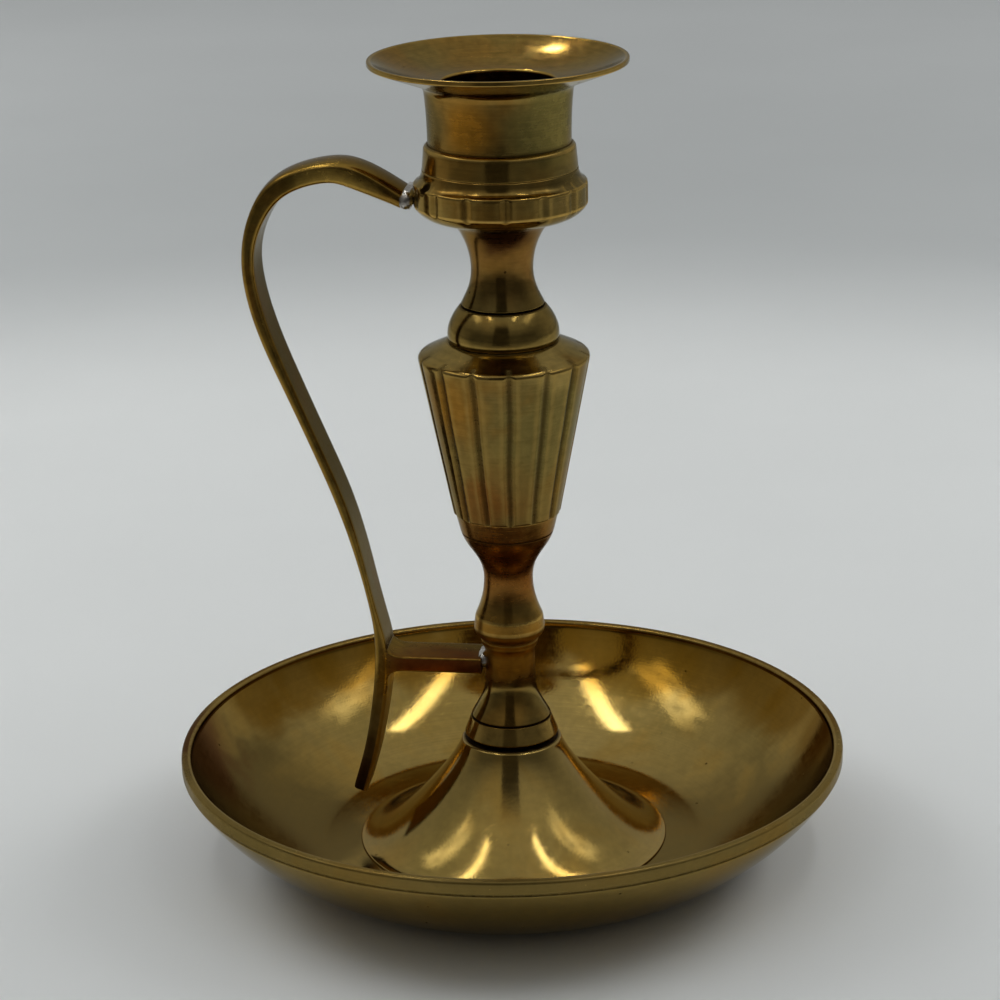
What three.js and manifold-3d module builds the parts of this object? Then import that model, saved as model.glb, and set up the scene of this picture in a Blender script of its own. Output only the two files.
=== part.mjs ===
// A brass chamberstick: a flanged candle cup on a turned and fluted stem, which stands on a trumpet foot in a
// round drip tray, with a cast S-shaped handle soldered to the cup ring and to the stem.
// Millimetres, +Z up. The stem's axis is Z, the tray stands on z = 0 and the handle reaches out along -X.
import * as THREE from "three";
import { mergeVertices } from "three/addons/utils/BufferGeometryUtils.js";
import Module from "manifold-3d";

const wasm = await Module();
wasm.setup();

// Facets
const SIDES = 40; // round the tray, the foot, the vase, the ring and the cup
const STEM_SIDES = 24; // round the thinner stem pieces and the tie rod
const CURVE_STEPS = 5; // along each curved stretch of an outline
const SPINE_STEPS = 44; // along the handle
const FLUTE_BAR_SIDES = 8; // round the bars that cut the flutes
const MERGE_TOLERANCE = 1e-4;

// Clearances
const FIT_GAP = 0.3; // between pieces that don't meet face to face
const TURN_GAP = 0.3; // between the stem and the foot, and the tray and its washer, which turn on each other
const ROD_GAP = 0.3; // round the tie rod in every bore

// Tie rod, nuts and washer
const ROD_R = 2.4;
const ROD_PROUD = 0.5; // rod end past each nut
const NUT_FLATS = 8;
const TRAY_NUT_HEIGHT = 3.6;
const CUP_NUT_HEIGHT = 2.7;
const WASHER_R = 7;
const WASHER_THICK = 1.2;

// Drip tray
const TRAY_RIM_R = 70;
const TRAY_HEIGHT = 24.5;
const TRAY_BASE_R = 40;
const TRAY_FLOOR = 2.5;
const TRAY_WALL = 2;
const RIM_BAND_HEIGHT = 3.2;
const RIM_BAND_STEP = 0.4; // how far the band stands out from the bowl
const RIM_ROUND = 0.8;
const WELL_R = 13; // flat top of the raised centre, which hides the nut below it
const WELL_SLOPE = 5; // how much wider the raised centre is at its foot
const TABLE_ROOM = 0.9; // under the tie rod's lower end

// Foot: a hollow trumpet on the tray's floor
const CONE_FOOT_R = 32.7;
const CONE_EDGE = 0.4;
const CONE_TOP_R = 10.5;
const CONE_HEIGHT = 22.5;
const CONE_WALL = 2.2;
const CONE_LIP = 0.4; // rounding round its top

// Lower stem, from its foot up
const FOOT_STEP = 0.6; // its foot's edge inside the cone's top
const FOOT_BAND_HEIGHT = 4.5;
const FOOT_BAND_TOP_R = 8.5;
const SCRIBE_WIDTH = 0.5;
const SCRIBE_DEPTH = 0.35;
const FOOT_COVE_HEIGHT = 8.2;
const LAND_R = 5.2; // straight land that the handle's bracket is soldered to
const LAND_MARGIN = 1.05; // land above and below the solder
const KNOP_COVE_HEIGHT = 2;
const KNOP_NECK_R = 6;
const KNOP_UNDER_HEIGHT = 2.4;
const KNOP_LOW_R = 7.4;
const KNOP_HIGH_R = 7.1;
const KNOP_HEIGHT = 2.5;
const WAIST_R = 5.1;
const WAIST_RISE = 8.3; // knop top up to the waist
const FUNNEL_HEIGHT = 14.6; // waist up to the vase
const FUNNEL_STEP = 0.4; // its top's edge inside the vase's foot

// Fluted vase
const VASE_FOOT_R = 11.1;
const VASE_TOP_R = 17.7;
const VASE_BODY_HEIGHT = 33.7;
const SHOULDER_HEIGHT = 2.9;
const SHOULDER_STEP = 0.4; // its top's edge outside the bell's foot
const VASE_EDGE = 0.5; // rounding of its widest edge

// Flutes of the vase and the cup ring
const FLUTES = 14;
const FLUTE_DEPTH = 0.7;
const FLUTE_TOP_BAR_R = 0.95; // radius of the bar that cuts a flute, at the top of the vase
const FLUTE_LOW_BAR_R = 0.75; // and at its foot
const RING_BAR_R = 0.9;
const FLUTE_OVERRUN = 4; // bar past each end of what it cuts
const VASE_FLUTE_TURN = 11.3; // degrees from -Y to the first flute
const RING_FLUTE_TURN = 10.8;

// Bell knop
const BELL_FOOT_R = 11.1;
const BELL_R = 11.4;
const BELL_WIDEST = 1.5; // height of its widest part
const BELL_TOP_R = 8.8;
const BELL_HEIGHT = 7.4;

// Neck
const NECK_STEP = 0.3; // its foot's edge inside the bell's top
const NECK_WAIST_R = 6.3;
const NECK_WAIST_HEIGHT = 7.7;
const NECK_TOP_R = 10.5;
const NECK_HEIGHT = 18.2;
const NECK_LIP = 0.6;

// Cup ring: a scalloped dish that the cup's spigot sits in
const RING_STEP = 0.9; // its foot's edge outside the neck's top
const RING_R = 17.6;
const RING_EDGE = 0.5; // rounding of its upper edge
const RING_FLOOR = 3.3;
const RING_UNDER_HEIGHT = 3;
const RING_SIDE_HEIGHT = 4.5;
const RING_SHOULDER_HEIGHT = 2.7;

// Candle cup and its flange, one casting
const SOCKET_R = 11.2; // takes a 22 mm candle
const SPIGOT_WALL = 1.8;
const CUP_FLOOR = 2.7;
const CUP_BAND_R = 15.65;
const CUP_BAND_TAPER = 0.4; // how much narrower the band is at its top
const CUP_BAND_HEIGHT = 4.2;
const CUP_BAND_ROUND = 0.8;
const CUP_R = 14.4;
const CUP_TOP_R = 15;
const CUP_WALL_HEIGHT = 11.7; // from the band up to the flange
const LIP_RISE = 0.8; // lip of the socket over the cup's outer corner
const LIP_CHAMFER = 0.5;
const FLANGE_R = 26;
const FLANGE_RISE = 4.5; // rim over the lip
const FLANGE_EDGE = 1;

// Handle: strap, free tail and bracket, one casting
const STRAP_WIDTH = 9.8;
const BRACKET_WIDTH = 9.2;
const BRACKET_THICK = 3.3;
const BRACKET_FLARE = 3; // fillet of the bracket into the strap
const STRAP_EDGE = 0.7; // rounding of the casting's edges
const TIP_THICK = 2.6; // at the ring
const END_THICK = 4.8;
const ARCH_THICK = 4.2;
const REACH_THICK = 2.9;
const MIDDLE_THICK = 2.3;
const LOWER_THICK = 1.6;
const ELBOW_THICK = 3.2;
const TAIL_THICK = 3.1;
const ARCH_OUT = 35;
const ARCH_RISE = 4.35; // over the middle of the cup ring
const REACH_OUT = 51.6; // strap's middle line at its widest, from the stem's axis
const ELBOW_OUT = 26.8; // where the bracket joins
const TAIL_OUT = 32.4;
const TAIL_DROP = 29; // bracket down to the tail's end

// Solder at the handle's two ends
const SOLDER_THICK = 1.1; // between the handle and what it is soldered to
const SOLDER_SPREAD = 0.9; // past the handle's section all round
const SOLDER_BULGE = 1.3; // along the handle
const SOLDER_TAPER = 0.8; // outer end's size over that at the joint

// Heights of the stack
const rodBoreR = ROD_R + ROD_GAP;
const coneTopZ = TRAY_FLOOR + CONE_HEIGHT;
const stemFootZ = coneTopZ + TURN_GAP;
const footBandZ = stemFootZ + FOOT_BAND_HEIGHT;
const landZ = footBandZ + SCRIBE_WIDTH + FOOT_COVE_HEIGHT;
const bracketZ = landZ + LAND_MARGIN + SOLDER_SPREAD + BRACKET_THICK / 2;
const landTopZ = bracketZ + BRACKET_THICK / 2 + SOLDER_SPREAD + LAND_MARGIN;
const knopNeckZ = landTopZ + KNOP_COVE_HEIGHT;
const knopLowZ = knopNeckZ + KNOP_UNDER_HEIGHT;
const knopHighZ = knopLowZ + KNOP_HEIGHT;
const waistZ = knopHighZ + WAIST_RISE;
const vaseFootZ = waistZ + FUNNEL_HEIGHT;
const vaseEdgeZ = vaseFootZ + VASE_BODY_HEIGHT;
const bellFootZ = vaseEdgeZ + SHOULDER_HEIGHT;
const neckFootZ = bellFootZ + BELL_HEIGHT;
const ringFootZ = neckFootZ + NECK_HEIGHT;
const ringSideZ = ringFootZ + RING_UNDER_HEIGHT;
const ringMidZ = ringSideZ + RING_SIDE_HEIGHT / 2;
const ringEdgeZ = ringSideZ + RING_SIDE_HEIGHT;
const ringTopZ = ringEdgeZ + RING_SHOULDER_HEIGHT;
const spigotFootZ = ringFootZ + RING_FLOOR + FIT_GAP;
const socketFloorZ = spigotFootZ + CUP_FLOOR;
const cupBandZ = ringTopZ + CUP_BAND_HEIGHT;
const cupTopZ = cupBandZ + CUP_BAND_ROUND + CUP_WALL_HEIGHT;
const lipZ = cupTopZ + LIP_RISE;
const flangeZ = lipZ + FLANGE_RISE;
const trayNutZ = TABLE_ROOM + ROD_PROUD;
const washerZ = trayNutZ + TRAY_NUT_HEIGHT;
const wellDepth = washerZ + WASHER_THICK + TURN_GAP;

// Finishes
const GOLD = { color: 0x9a7c3a, roughness: 0.32, metalness: 1 };
const OLIVE = { color: 0x857136, roughness: 0.34, metalness: 1 };
const BROWN = { color: 0x6e4d22, roughness: 0.36, metalness: 1 };
const SOLDER = { color: 0xaaa698, roughness: 0.4, metalness: 1 };
const STEEL = { color: 0x8b8d8f, roughness: 0.45, metalness: 1 };

// A closed geometry as a solid that can be cut and joined.
function toSolid(geometry) {
  const bare = geometry.clone();
  bare.deleteAttribute("normal");
  bare.deleteAttribute("uv");
  const merged = mergeVertices(bare, MERGE_TOLERANCE);
  const vertProperties = new Float32Array(merged.attributes.position.array);
  const triVerts = new Uint32Array(merged.index.array);
  return new wasm.Manifold(new wasm.Mesh({ numProp: 3, vertProperties, triVerts }));
}

// A solid's surface as a geometry.
function toGeometry(solid) {
  const { vertProperties, triVerts } = solid.getMesh();
  const geometry = new THREE.BufferGeometry();
  geometry.setAttribute("position", new THREE.BufferAttribute(vertProperties, 3));
  geometry.setIndex(new THREE.BufferAttribute(triVerts, 1));
  geometry.computeVertexNormals();
  return geometry;
}

// A piece turned on the Z axis from an outline of (radius, height) drawn anticlockwise, which this closes.
function turned(outline, sides) {
  outline.closePath();
  return new THREE.LatheGeometry(outline.getPoints(CURVE_STEPS), sides).rotateX(Math.PI / 2);
}

// A straight tube or washer round the Z axis.
function tube(innerR, outerR, lowZ, highZ, sides) {
  const outline = new THREE.Path();
  outline.moveTo(innerR, lowZ);
  outline.lineTo(outerR, lowZ);
  outline.lineTo(outerR, highZ);
  outline.lineTo(innerR, highZ);
  return turned(outline, sides);
}

// A solid round bar on the Z axis.
function bar(radius, lowZ, highZ, sides) {
  const height = highZ - lowZ;
  return new THREE.CylinderGeometry(radius, radius, height, sides)
    .rotateX(Math.PI / 2)
    .translate(0, 0, lowZ + height / 2);
}

// A cut round the surface that an outline climbs: in by its depth, along, and out again.
function scribe(outline, radius, lowZ) {
  outline.lineTo(radius - SCRIBE_DEPTH, lowZ + SCRIBE_WIDTH / 2);
  outline.lineTo(radius, lowZ + SCRIBE_WIDTH);
}

// A piece with flutes cut along the line from its foot (radius, height) to its top.
function fluted(geometry, foot, top, footBarR, topBarR, firstTurn) {
  const along = new THREE.Vector2().subVectors(top, foot);
  const flank = along.length();
  const tilt = Math.atan2(along.x, along.y);
  const length = flank + 2 * FLUTE_OVERRUN;
  const middle = new THREE.Vector2().addVectors(foot, top).multiplyScalar(0.5);
  const outBy = (footBarR + topBarR) / 2 - FLUTE_DEPTH;
  let piece = toSolid(geometry);
  for (let i = 0; i < FLUTES; i++) {
    const turn = THREE.MathUtils.degToRad(firstTurn) + (2 * Math.PI * i) / FLUTES;
    const cutter = new THREE.CylinderGeometry(topBarR, footBarR, length, FLUTE_BAR_SIDES)
      .rotateX(Math.PI / 2)
      .rotateX(tilt)
      .translate(0, -middle.x - outBy * Math.cos(tilt), middle.y + outBy * Math.sin(tilt))
      .rotateZ(turn);
    piece = piece.subtract(toSolid(cutter));
  }
  return toGeometry(piece);
}

// Round tray with a flat base, a bowl wall, a proud rim band and a raised centre over the nut.
function dripTray() {
  const bandZ = TRAY_HEIGHT - RIM_BAND_HEIGHT;
  const bowlR = TRAY_RIM_R - RIM_BAND_STEP;
  const innerR = TRAY_RIM_R - TRAY_WALL;
  const rise = TRAY_RIM_R - TRAY_BASE_R;
  const depth = TRAY_HEIGHT - TRAY_FLOOR;
  const wellFootR = WELL_R + WELL_SLOPE;
  const outline = new THREE.Path();
  outline.moveTo(rodBoreR, wellDepth);
  outline.lineTo(WELL_R, wellDepth);
  outline.lineTo(wellFootR, 0);
  outline.lineTo(TRAY_BASE_R, 0);
  outline.bezierCurveTo(
    TRAY_BASE_R + 0.36 * rise, 0.05 * bandZ,
    bowlR - 0.2 * rise, 0.54 * bandZ,
    bowlR, bandZ,
  );
  outline.lineTo(TRAY_RIM_R, bandZ + RIM_BAND_STEP);
  outline.lineTo(TRAY_RIM_R, TRAY_HEIGHT - RIM_ROUND);
  outline.quadraticCurveTo(TRAY_RIM_R, TRAY_HEIGHT, TRAY_RIM_R - RIM_ROUND, TRAY_HEIGHT);
  outline.lineTo(innerR + RIM_ROUND, TRAY_HEIGHT);
  outline.quadraticCurveTo(innerR, TRAY_HEIGHT, innerR, TRAY_HEIGHT - RIM_ROUND);
  outline.bezierCurveTo(
    innerR - 0.2 * rise, TRAY_FLOOR + 0.48 * depth,
    TRAY_BASE_R + 0.36 * rise, TRAY_FLOOR + 0.03 * depth,
    TRAY_BASE_R, TRAY_FLOOR,
  );
  outline.lineTo(wellFootR + TRAY_WALL, TRAY_FLOOR);
  outline.lineTo(WELL_R + TRAY_WALL, wellDepth + TRAY_FLOOR);
  outline.lineTo(rodBoreR, wellDepth + TRAY_FLOOR);
  return turned(outline, SIDES);
}

// Hollow trumpet foot with a closed top for the tie rod.
function footCone() {
  const footZ = TRAY_FLOOR;
  const flare = CONE_FOOT_R - CONE_TOP_R;
  const innerTopR = CONE_TOP_R - CONE_WALL;
  const innerFootR = CONE_FOOT_R - CONE_WALL;
  const outline = new THREE.Path();
  outline.moveTo(innerFootR, footZ);
  outline.lineTo(CONE_FOOT_R, footZ);
  outline.lineTo(CONE_FOOT_R, footZ + CONE_EDGE);
  outline.bezierCurveTo(
    CONE_TOP_R + 0.69 * flare, footZ + 0.02 * CONE_HEIGHT,
    CONE_TOP_R + 0.08 * flare, footZ + 0.72 * CONE_HEIGHT,
    CONE_TOP_R, coneTopZ - CONE_LIP,
  );
  outline.lineTo(CONE_TOP_R - CONE_LIP, coneTopZ);
  outline.lineTo(rodBoreR, coneTopZ);
  outline.lineTo(rodBoreR, coneTopZ - CONE_WALL);
  outline.lineTo(innerTopR, coneTopZ - CONE_WALL);
  outline.bezierCurveTo(
    innerTopR + 0.06 * flare, footZ + 0.66 * CONE_HEIGHT,
    innerTopR + 0.55 * flare, footZ + 0.06 * CONE_HEIGHT,
    innerFootR - CONE_WALL, footZ,
  );
  return turned(outline, SIDES);
}

// Lower stem: foot band, bracket land, knop, waist and the funnel under the vase.
function lowerStem() {
  const scribeTopZ = footBandZ + SCRIBE_WIDTH;
  const footR = CONE_TOP_R - FOOT_STEP;
  const funnelTopR = VASE_FOOT_R - FUNNEL_STEP;
  const outline = new THREE.Path();
  outline.moveTo(rodBoreR, stemFootZ);
  outline.lineTo(footR - CONE_LIP, stemFootZ);
  outline.lineTo(footR, stemFootZ + CONE_LIP);
  outline.lineTo(FOOT_BAND_TOP_R, footBandZ);
  scribe(outline, FOOT_BAND_TOP_R, footBandZ);
  outline.bezierCurveTo(
    FOOT_BAND_TOP_R - 0.45 * (FOOT_BAND_TOP_R - LAND_R), scribeTopZ + 0.3 * FOOT_COVE_HEIGHT,
    LAND_R, landZ - 0.4 * FOOT_COVE_HEIGHT,
    LAND_R, landZ,
  );
  outline.lineTo(LAND_R, landTopZ);
  outline.lineTo(KNOP_NECK_R, knopNeckZ - SCRIBE_WIDTH);
  outline.lineTo(KNOP_NECK_R - SCRIBE_DEPTH, knopNeckZ - SCRIBE_WIDTH / 2);
  outline.lineTo(KNOP_NECK_R, knopNeckZ);
  outline.quadraticCurveTo(KNOP_LOW_R, knopNeckZ + KNOP_UNDER_HEIGHT / 2, KNOP_LOW_R, knopLowZ);
  outline.lineTo(KNOP_HIGH_R, knopHighZ);
  outline.bezierCurveTo(
    KNOP_HIGH_R - 0.55 * (KNOP_HIGH_R - WAIST_R), knopHighZ + 0.3 * WAIST_RISE,
    WAIST_R, waistZ - 0.4 * WAIST_RISE,
    WAIST_R, waistZ,
  );
  outline.bezierCurveTo(
    WAIST_R, waistZ + 0.3 * FUNNEL_HEIGHT,
    funnelTopR - 0.38 * (funnelTopR - WAIST_R), waistZ + 0.5 * FUNNEL_HEIGHT,
    funnelTopR, vaseFootZ,
  );
  outline.lineTo(rodBoreR, vaseFootZ);
  return turned(outline, STEM_SIDES);
}

// Tapered vase with a sloping shoulder and flutes down its flank.
function flutedVase() {
  const outline = new THREE.Path();
  outline.moveTo(rodBoreR, vaseFootZ);
  outline.lineTo(VASE_FOOT_R, vaseFootZ);
  outline.lineTo(VASE_TOP_R, vaseEdgeZ - VASE_EDGE);
  outline.lineTo(VASE_TOP_R - VASE_EDGE, vaseEdgeZ);
  outline.lineTo(BELL_FOOT_R + SHOULDER_STEP, bellFootZ);
  outline.lineTo(rodBoreR, bellFootZ);
  const foot = new THREE.Vector2(VASE_FOOT_R, vaseFootZ);
  const top = new THREE.Vector2(VASE_TOP_R, vaseEdgeZ);
  return fluted(turned(outline, SIDES), foot, top, FLUTE_LOW_BAR_R, FLUTE_TOP_BAR_R, VASE_FLUTE_TURN);
}

// Bell-shaped knop on the vase's shoulder.
function bellKnop() {
  const widestZ = bellFootZ + BELL_WIDEST;
  const outline = new THREE.Path();
  outline.moveTo(rodBoreR, bellFootZ);
  outline.lineTo(BELL_FOOT_R, bellFootZ);
  outline.quadraticCurveTo(BELL_R, bellFootZ + BELL_WIDEST / 2, BELL_R, widestZ);
  outline.bezierCurveTo(
    BELL_R, widestZ + 0.4 * (neckFootZ - widestZ),
    BELL_TOP_R + 0.5 * (BELL_R - BELL_TOP_R), neckFootZ - 0.2 * BELL_HEIGHT,
    BELL_TOP_R, neckFootZ,
  );
  outline.lineTo(rodBoreR, neckFootZ);
  return turned(outline, STEM_SIDES);
}

// Waisted neck that flares out under the cup ring.
function neck() {
  const neckFootR = BELL_TOP_R - NECK_STEP;
  const waist = neckFootZ + NECK_WAIST_HEIGHT;
  const lipFootZ = ringFootZ - NECK_LIP;
  const flareHeight = lipFootZ - waist;
  const outline = new THREE.Path();
  outline.moveTo(rodBoreR, neckFootZ);
  outline.lineTo(neckFootR, neckFootZ);
  outline.bezierCurveTo(
    neckFootR - 0.5 * (neckFootR - NECK_WAIST_R), neckFootZ + 0.35 * NECK_WAIST_HEIGHT,
    NECK_WAIST_R, waist - 0.4 * NECK_WAIST_HEIGHT,
    NECK_WAIST_R, waist,
  );
  outline.bezierCurveTo(
    NECK_WAIST_R, waist + 0.42 * flareHeight,
    NECK_TOP_R - 0.5 * (NECK_TOP_R - NECK_WAIST_R), lipFootZ - 0.1 * flareHeight,
    NECK_TOP_R, lipFootZ,
  );
  outline.lineTo(NECK_TOP_R, ringFootZ);
  outline.lineTo(rodBoreR, ringFootZ);
  return turned(outline, STEM_SIDES);
}

// Scalloped ring under the cup, a shallow dish bored for the cup's spigot.
function cupRing() {
  const footR = NECK_TOP_R + RING_STEP;
  const boreR = SOCKET_R + SPIGOT_WALL + FIT_GAP;
  const floorZ = ringFootZ + RING_FLOOR;
  const outline = new THREE.Path();
  outline.moveTo(rodBoreR, ringFootZ);
  outline.lineTo(footR, ringFootZ);
  outline.quadraticCurveTo(RING_R - 0.3 * (RING_R - footR), ringFootZ, RING_R, ringSideZ);
  outline.lineTo(RING_R, ringEdgeZ - RING_EDGE);
  outline.lineTo(RING_R - RING_EDGE, ringEdgeZ + RING_EDGE / 2);
  outline.lineTo(CUP_BAND_R, ringTopZ);
  outline.lineTo(boreR, ringTopZ);
  outline.lineTo(boreR, floorZ);
  outline.lineTo(rodBoreR, floorZ);
  const foot = new THREE.Vector2(RING_R, ringSideZ);
  const top = new THREE.Vector2(RING_R, ringEdgeZ);
  return fluted(turned(outline, SIDES), foot, top, RING_BAR_R, RING_BAR_R, RING_FLUTE_TURN);
}

// Candle cup with a spigot below, a rounded band, and a dished flange round the socket's mouth.
function candleCup() {
  const spigotR = SOCKET_R + SPIGOT_WALL;
  const bandTopR = CUP_BAND_R - CUP_BAND_TAPER;
  const bandTopZ = cupBandZ + CUP_BAND_ROUND;
  const overhang = FLANGE_R - CUP_TOP_R;
  const rimLowZ = flangeZ - FLANGE_EDGE;
  const dish = FLANGE_R - SOCKET_R;
  const outline = new THREE.Path();
  outline.moveTo(rodBoreR, spigotFootZ);
  outline.lineTo(spigotR, spigotFootZ);
  outline.lineTo(spigotR, ringTopZ);
  outline.lineTo(CUP_BAND_R, ringTopZ);
  outline.lineTo(bandTopR, cupBandZ);
  outline.quadraticCurveTo(bandTopR, bandTopZ, CUP_R, bandTopZ);
  outline.bezierCurveTo(
    CUP_R, bandTopZ + 0.6 * CUP_WALL_HEIGHT,
    CUP_TOP_R - 0.2 * (CUP_TOP_R - CUP_R), cupTopZ - 0.15 * CUP_WALL_HEIGHT,
    CUP_TOP_R, cupTopZ,
  );
  outline.bezierCurveTo(
    CUP_TOP_R + 0.15 * overhang, cupTopZ + 0.2 * (rimLowZ - cupTopZ),
    FLANGE_R - 0.5 * overhang, rimLowZ - 0.5 * (rimLowZ - cupTopZ),
    FLANGE_R, rimLowZ,
  );
  outline.lineTo(FLANGE_R, flangeZ - FLANGE_EDGE / 2);
  outline.lineTo(FLANGE_R - FLANGE_EDGE / 2, flangeZ);
  outline.bezierCurveTo(
    FLANGE_R - 0.4 * dish, flangeZ - 0.62 * FLANGE_RISE,
    SOCKET_R + 0.3 * dish, lipZ + 0.1 * FLANGE_RISE,
    SOCKET_R + LIP_CHAMFER, lipZ,
  );
  outline.lineTo(SOCKET_R, lipZ - LIP_CHAMFER);
  outline.lineTo(SOCKET_R, socketFloorZ);
  outline.lineTo(rodBoreR, socketFloorZ);
  return turned(outline, SIDES);
}

// Stations along the handle's middle line, from inside the cup ring to the tail's end: distance out from
// the stem's axis, height and thickness.
function handleStations() {
  const climb = ringMidZ - bracketZ;
  const reach = REACH_OUT - ELBOW_OUT;
  const archOut = ARCH_OUT - RING_R;
  const shoulderOut = REACH_OUT - ARCH_OUT;
  const tailOut = TAIL_OUT - ELBOW_OUT;
  return [
    { out: RING_R - END_THICK / 2, z: ringMidZ - 0.8 * ARCH_RISE, thick: TIP_THICK },
    { out: RING_R + 0.54 * archOut, z: ringMidZ + 0.6 * ARCH_RISE, thick: END_THICK },
    { out: ARCH_OUT, z: ringMidZ + ARCH_RISE, thick: ARCH_THICK },
    { out: ARCH_OUT + 0.66 * shoulderOut, z: ringMidZ + 0.04 * ARCH_RISE, thick: ARCH_THICK },
    { out: REACH_OUT, z: bracketZ + 0.882 * climb, thick: REACH_THICK },
    { out: ELBOW_OUT + 0.923 * reach, z: bracketZ + 0.732 * climb, thick: REACH_THICK },
    { out: ELBOW_OUT + 0.605 * reach, z: bracketZ + 0.533 * climb, thick: MIDDLE_THICK },
    { out: ELBOW_OUT + 0.274 * reach, z: bracketZ + 0.328 * climb, thick: MIDDLE_THICK },
    { out: ELBOW_OUT + 0.072 * reach, z: bracketZ + 0.129 * climb, thick: LOWER_THICK },
    { out: ELBOW_OUT, z: bracketZ, thick: ELBOW_THICK },
    { out: ELBOW_OUT + 0.43 * tailOut, z: bracketZ - 0.6 * TAIL_DROP, thick: TAIL_THICK },
    { out: TAIL_OUT, z: bracketZ - TAIL_DROP, thick: TAIL_THICK },
  ];
}

// A flat casting in the XZ plane, with its edges rounded by edge.
function casting(shape, width, edge) {
  const geometry = new THREE.ExtrudeGeometry(shape, {
    depth: width - 2 * edge,
    curveSegments: CURVE_STEPS,
    bevelEnabled: edge > 0,
    bevelThickness: edge,
    bevelSize: edge,
    bevelOffset: -edge,
    bevelSegments: 2,
  });
  return toSolid(geometry.rotateX(Math.PI / 2).translate(0, width / 2 - edge, 0));
}

// The strap and tail: the stations joined by a smooth line, with half the thickness to either side of it.
function strap(grow) {
  const stations = handleStations();
  const line = new THREE.SplineCurve(stations.map((s) => new THREE.Vector2(-s.out, s.z)));
  const thickness = new THREE.SplineCurve(stations.map((s, i) => new THREE.Vector2(i, s.thick)));
  const upper = [];
  const under = [];
  for (let i = 0; i <= SPINE_STEPS; i++) {
    const t = i / SPINE_STEPS;
    const point = line.getPoint(t);
    const heading = line.getTangent(t);
    const half = thickness.getPoint(t).y / 2 + grow;
    const across = new THREE.Vector2(heading.y, -heading.x).multiplyScalar(half);
    upper.push(point.clone().add(across));
    under.push(point.clone().sub(across));
  }
  return casting(new THREE.Shape([...upper, ...under.reverse()]), STRAP_WIDTH + 2 * grow, STRAP_EDGE);
}

// The bracket, which flares where it runs into the strap.
function bracket(grow) {
  const half = BRACKET_THICK / 2 + grow;
  const flareZ = half + BRACKET_FLARE;
  const rootOut = ELBOW_OUT;
  const flareOut = rootOut - ELBOW_THICK / 2 - BRACKET_FLARE;
  const shape = new THREE.Shape();
  shape.moveTo(0, bracketZ - half);
  shape.lineTo(0, bracketZ + half);
  shape.lineTo(-flareOut, bracketZ + half);
  shape.quadraticCurveTo(-rootOut + ELBOW_THICK / 2, bracketZ + half, -rootOut, bracketZ + flareZ);
  shape.lineTo(-rootOut, bracketZ - flareZ);
  shape.quadraticCurveTo(-rootOut + ELBOW_THICK / 2, bracketZ - half, -flareOut, bracketZ - half);
  return casting(shape, BRACKET_WIDTH + 2 * grow, 0);
}

// Room kept clear round the cup ring and round the stem's land: what the handle's ends are cut to.
function jointRoom(gap) {
  const ringRoom = toSolid(bar(RING_R + gap, ringFootZ - END_THICK, ringTopZ + END_THICK, SIDES));
  const landRoom = toSolid(bar(LAND_R + gap, landZ, landTopZ, SIDES));
  return ringRoom.add(landRoom);
}

// The handle's casting, grown all over where room for it is wanted.
function handleCasting(grow) {
  return strap(grow).add(bracket(grow)).subtract(jointRoom(SOLDER_THICK - grow));
}

// A bead of solder on the -X side: it fills the joint and runs out along the end of the handle as a collar.
function solderBead(jointR, middleZ, width, thick) {
  const innerX = jointR / 2;
  const outerX = jointR + SOLDER_THICK + SOLDER_BULGE;
  const bead = new THREE.CylinderGeometry(1, SOLDER_TAPER, outerX - innerX, STEM_SIDES)
    .rotateZ(-Math.PI / 2)
    .scale(1, width / 2 + SOLDER_SPREAD, thick / 2 + SOLDER_SPREAD)
    .translate(-(innerX + outerX) / 2, 0, middleZ);
  return toGeometry(toSolid(bead).subtract(jointRoom(FIT_GAP)).subtract(handleCasting(FIT_GAP)));
}

// Hexagon nut on the tie rod.
function nut(lowZ, height) {
  const cornerR = NUT_FLATS / 2 / Math.cos(Math.PI / 6);
  const hexagon = toSolid(bar(cornerR, lowZ, lowZ + height, 6));
  return toGeometry(hexagon.subtract(toSolid(bar(rodBoreR, lowZ - height, lowZ + 2 * height, STEM_SIDES))));
}

const chamberstick = new THREE.Group();

function addPiece(name, geometry, finish) {
  const mesh = new THREE.Mesh(geometry, new THREE.MeshStandardMaterial(finish));
  mesh.name = name;
  chamberstick.add(mesh);
}

const endZ = ringMidZ - 0.36 * ARCH_RISE;
const rodTopZ = socketFloorZ + CUP_NUT_HEIGHT + ROD_PROUD;
addPiece("drip_tray", dripTray(), GOLD);
addPiece("foot_cone", footCone(), GOLD);
addPiece("lower_stem", lowerStem(), BROWN);
addPiece("fluted_vase", flutedVase(), OLIVE);
addPiece("bell_knop", bellKnop(), OLIVE);
addPiece("neck", neck(), OLIVE);
addPiece("cup_ring", cupRing(), OLIVE);
addPiece("candle_cup", candleCup(), OLIVE);
addPiece("handle", toGeometry(handleCasting(0)), OLIVE);
addPiece("cup_solder", solderBead(RING_R, endZ, STRAP_WIDTH, END_THICK), SOLDER);
addPiece("stem_solder", solderBead(LAND_R, bracketZ, BRACKET_WIDTH, BRACKET_THICK), SOLDER);
addPiece("tie_rod", bar(ROD_R, trayNutZ - ROD_PROUD, rodTopZ, STEM_SIDES), STEEL);
addPiece("tray_washer", tube(rodBoreR, WASHER_R, washerZ, washerZ + WASHER_THICK, STEM_SIDES), STEEL);
addPiece("tray_nut", nut(trayNutZ, TRAY_NUT_HEIGHT), STEEL);
addPiece("cup_nut", nut(socketFloorZ, CUP_NUT_HEIGHT), STEEL);

export default chamberstick;
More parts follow.
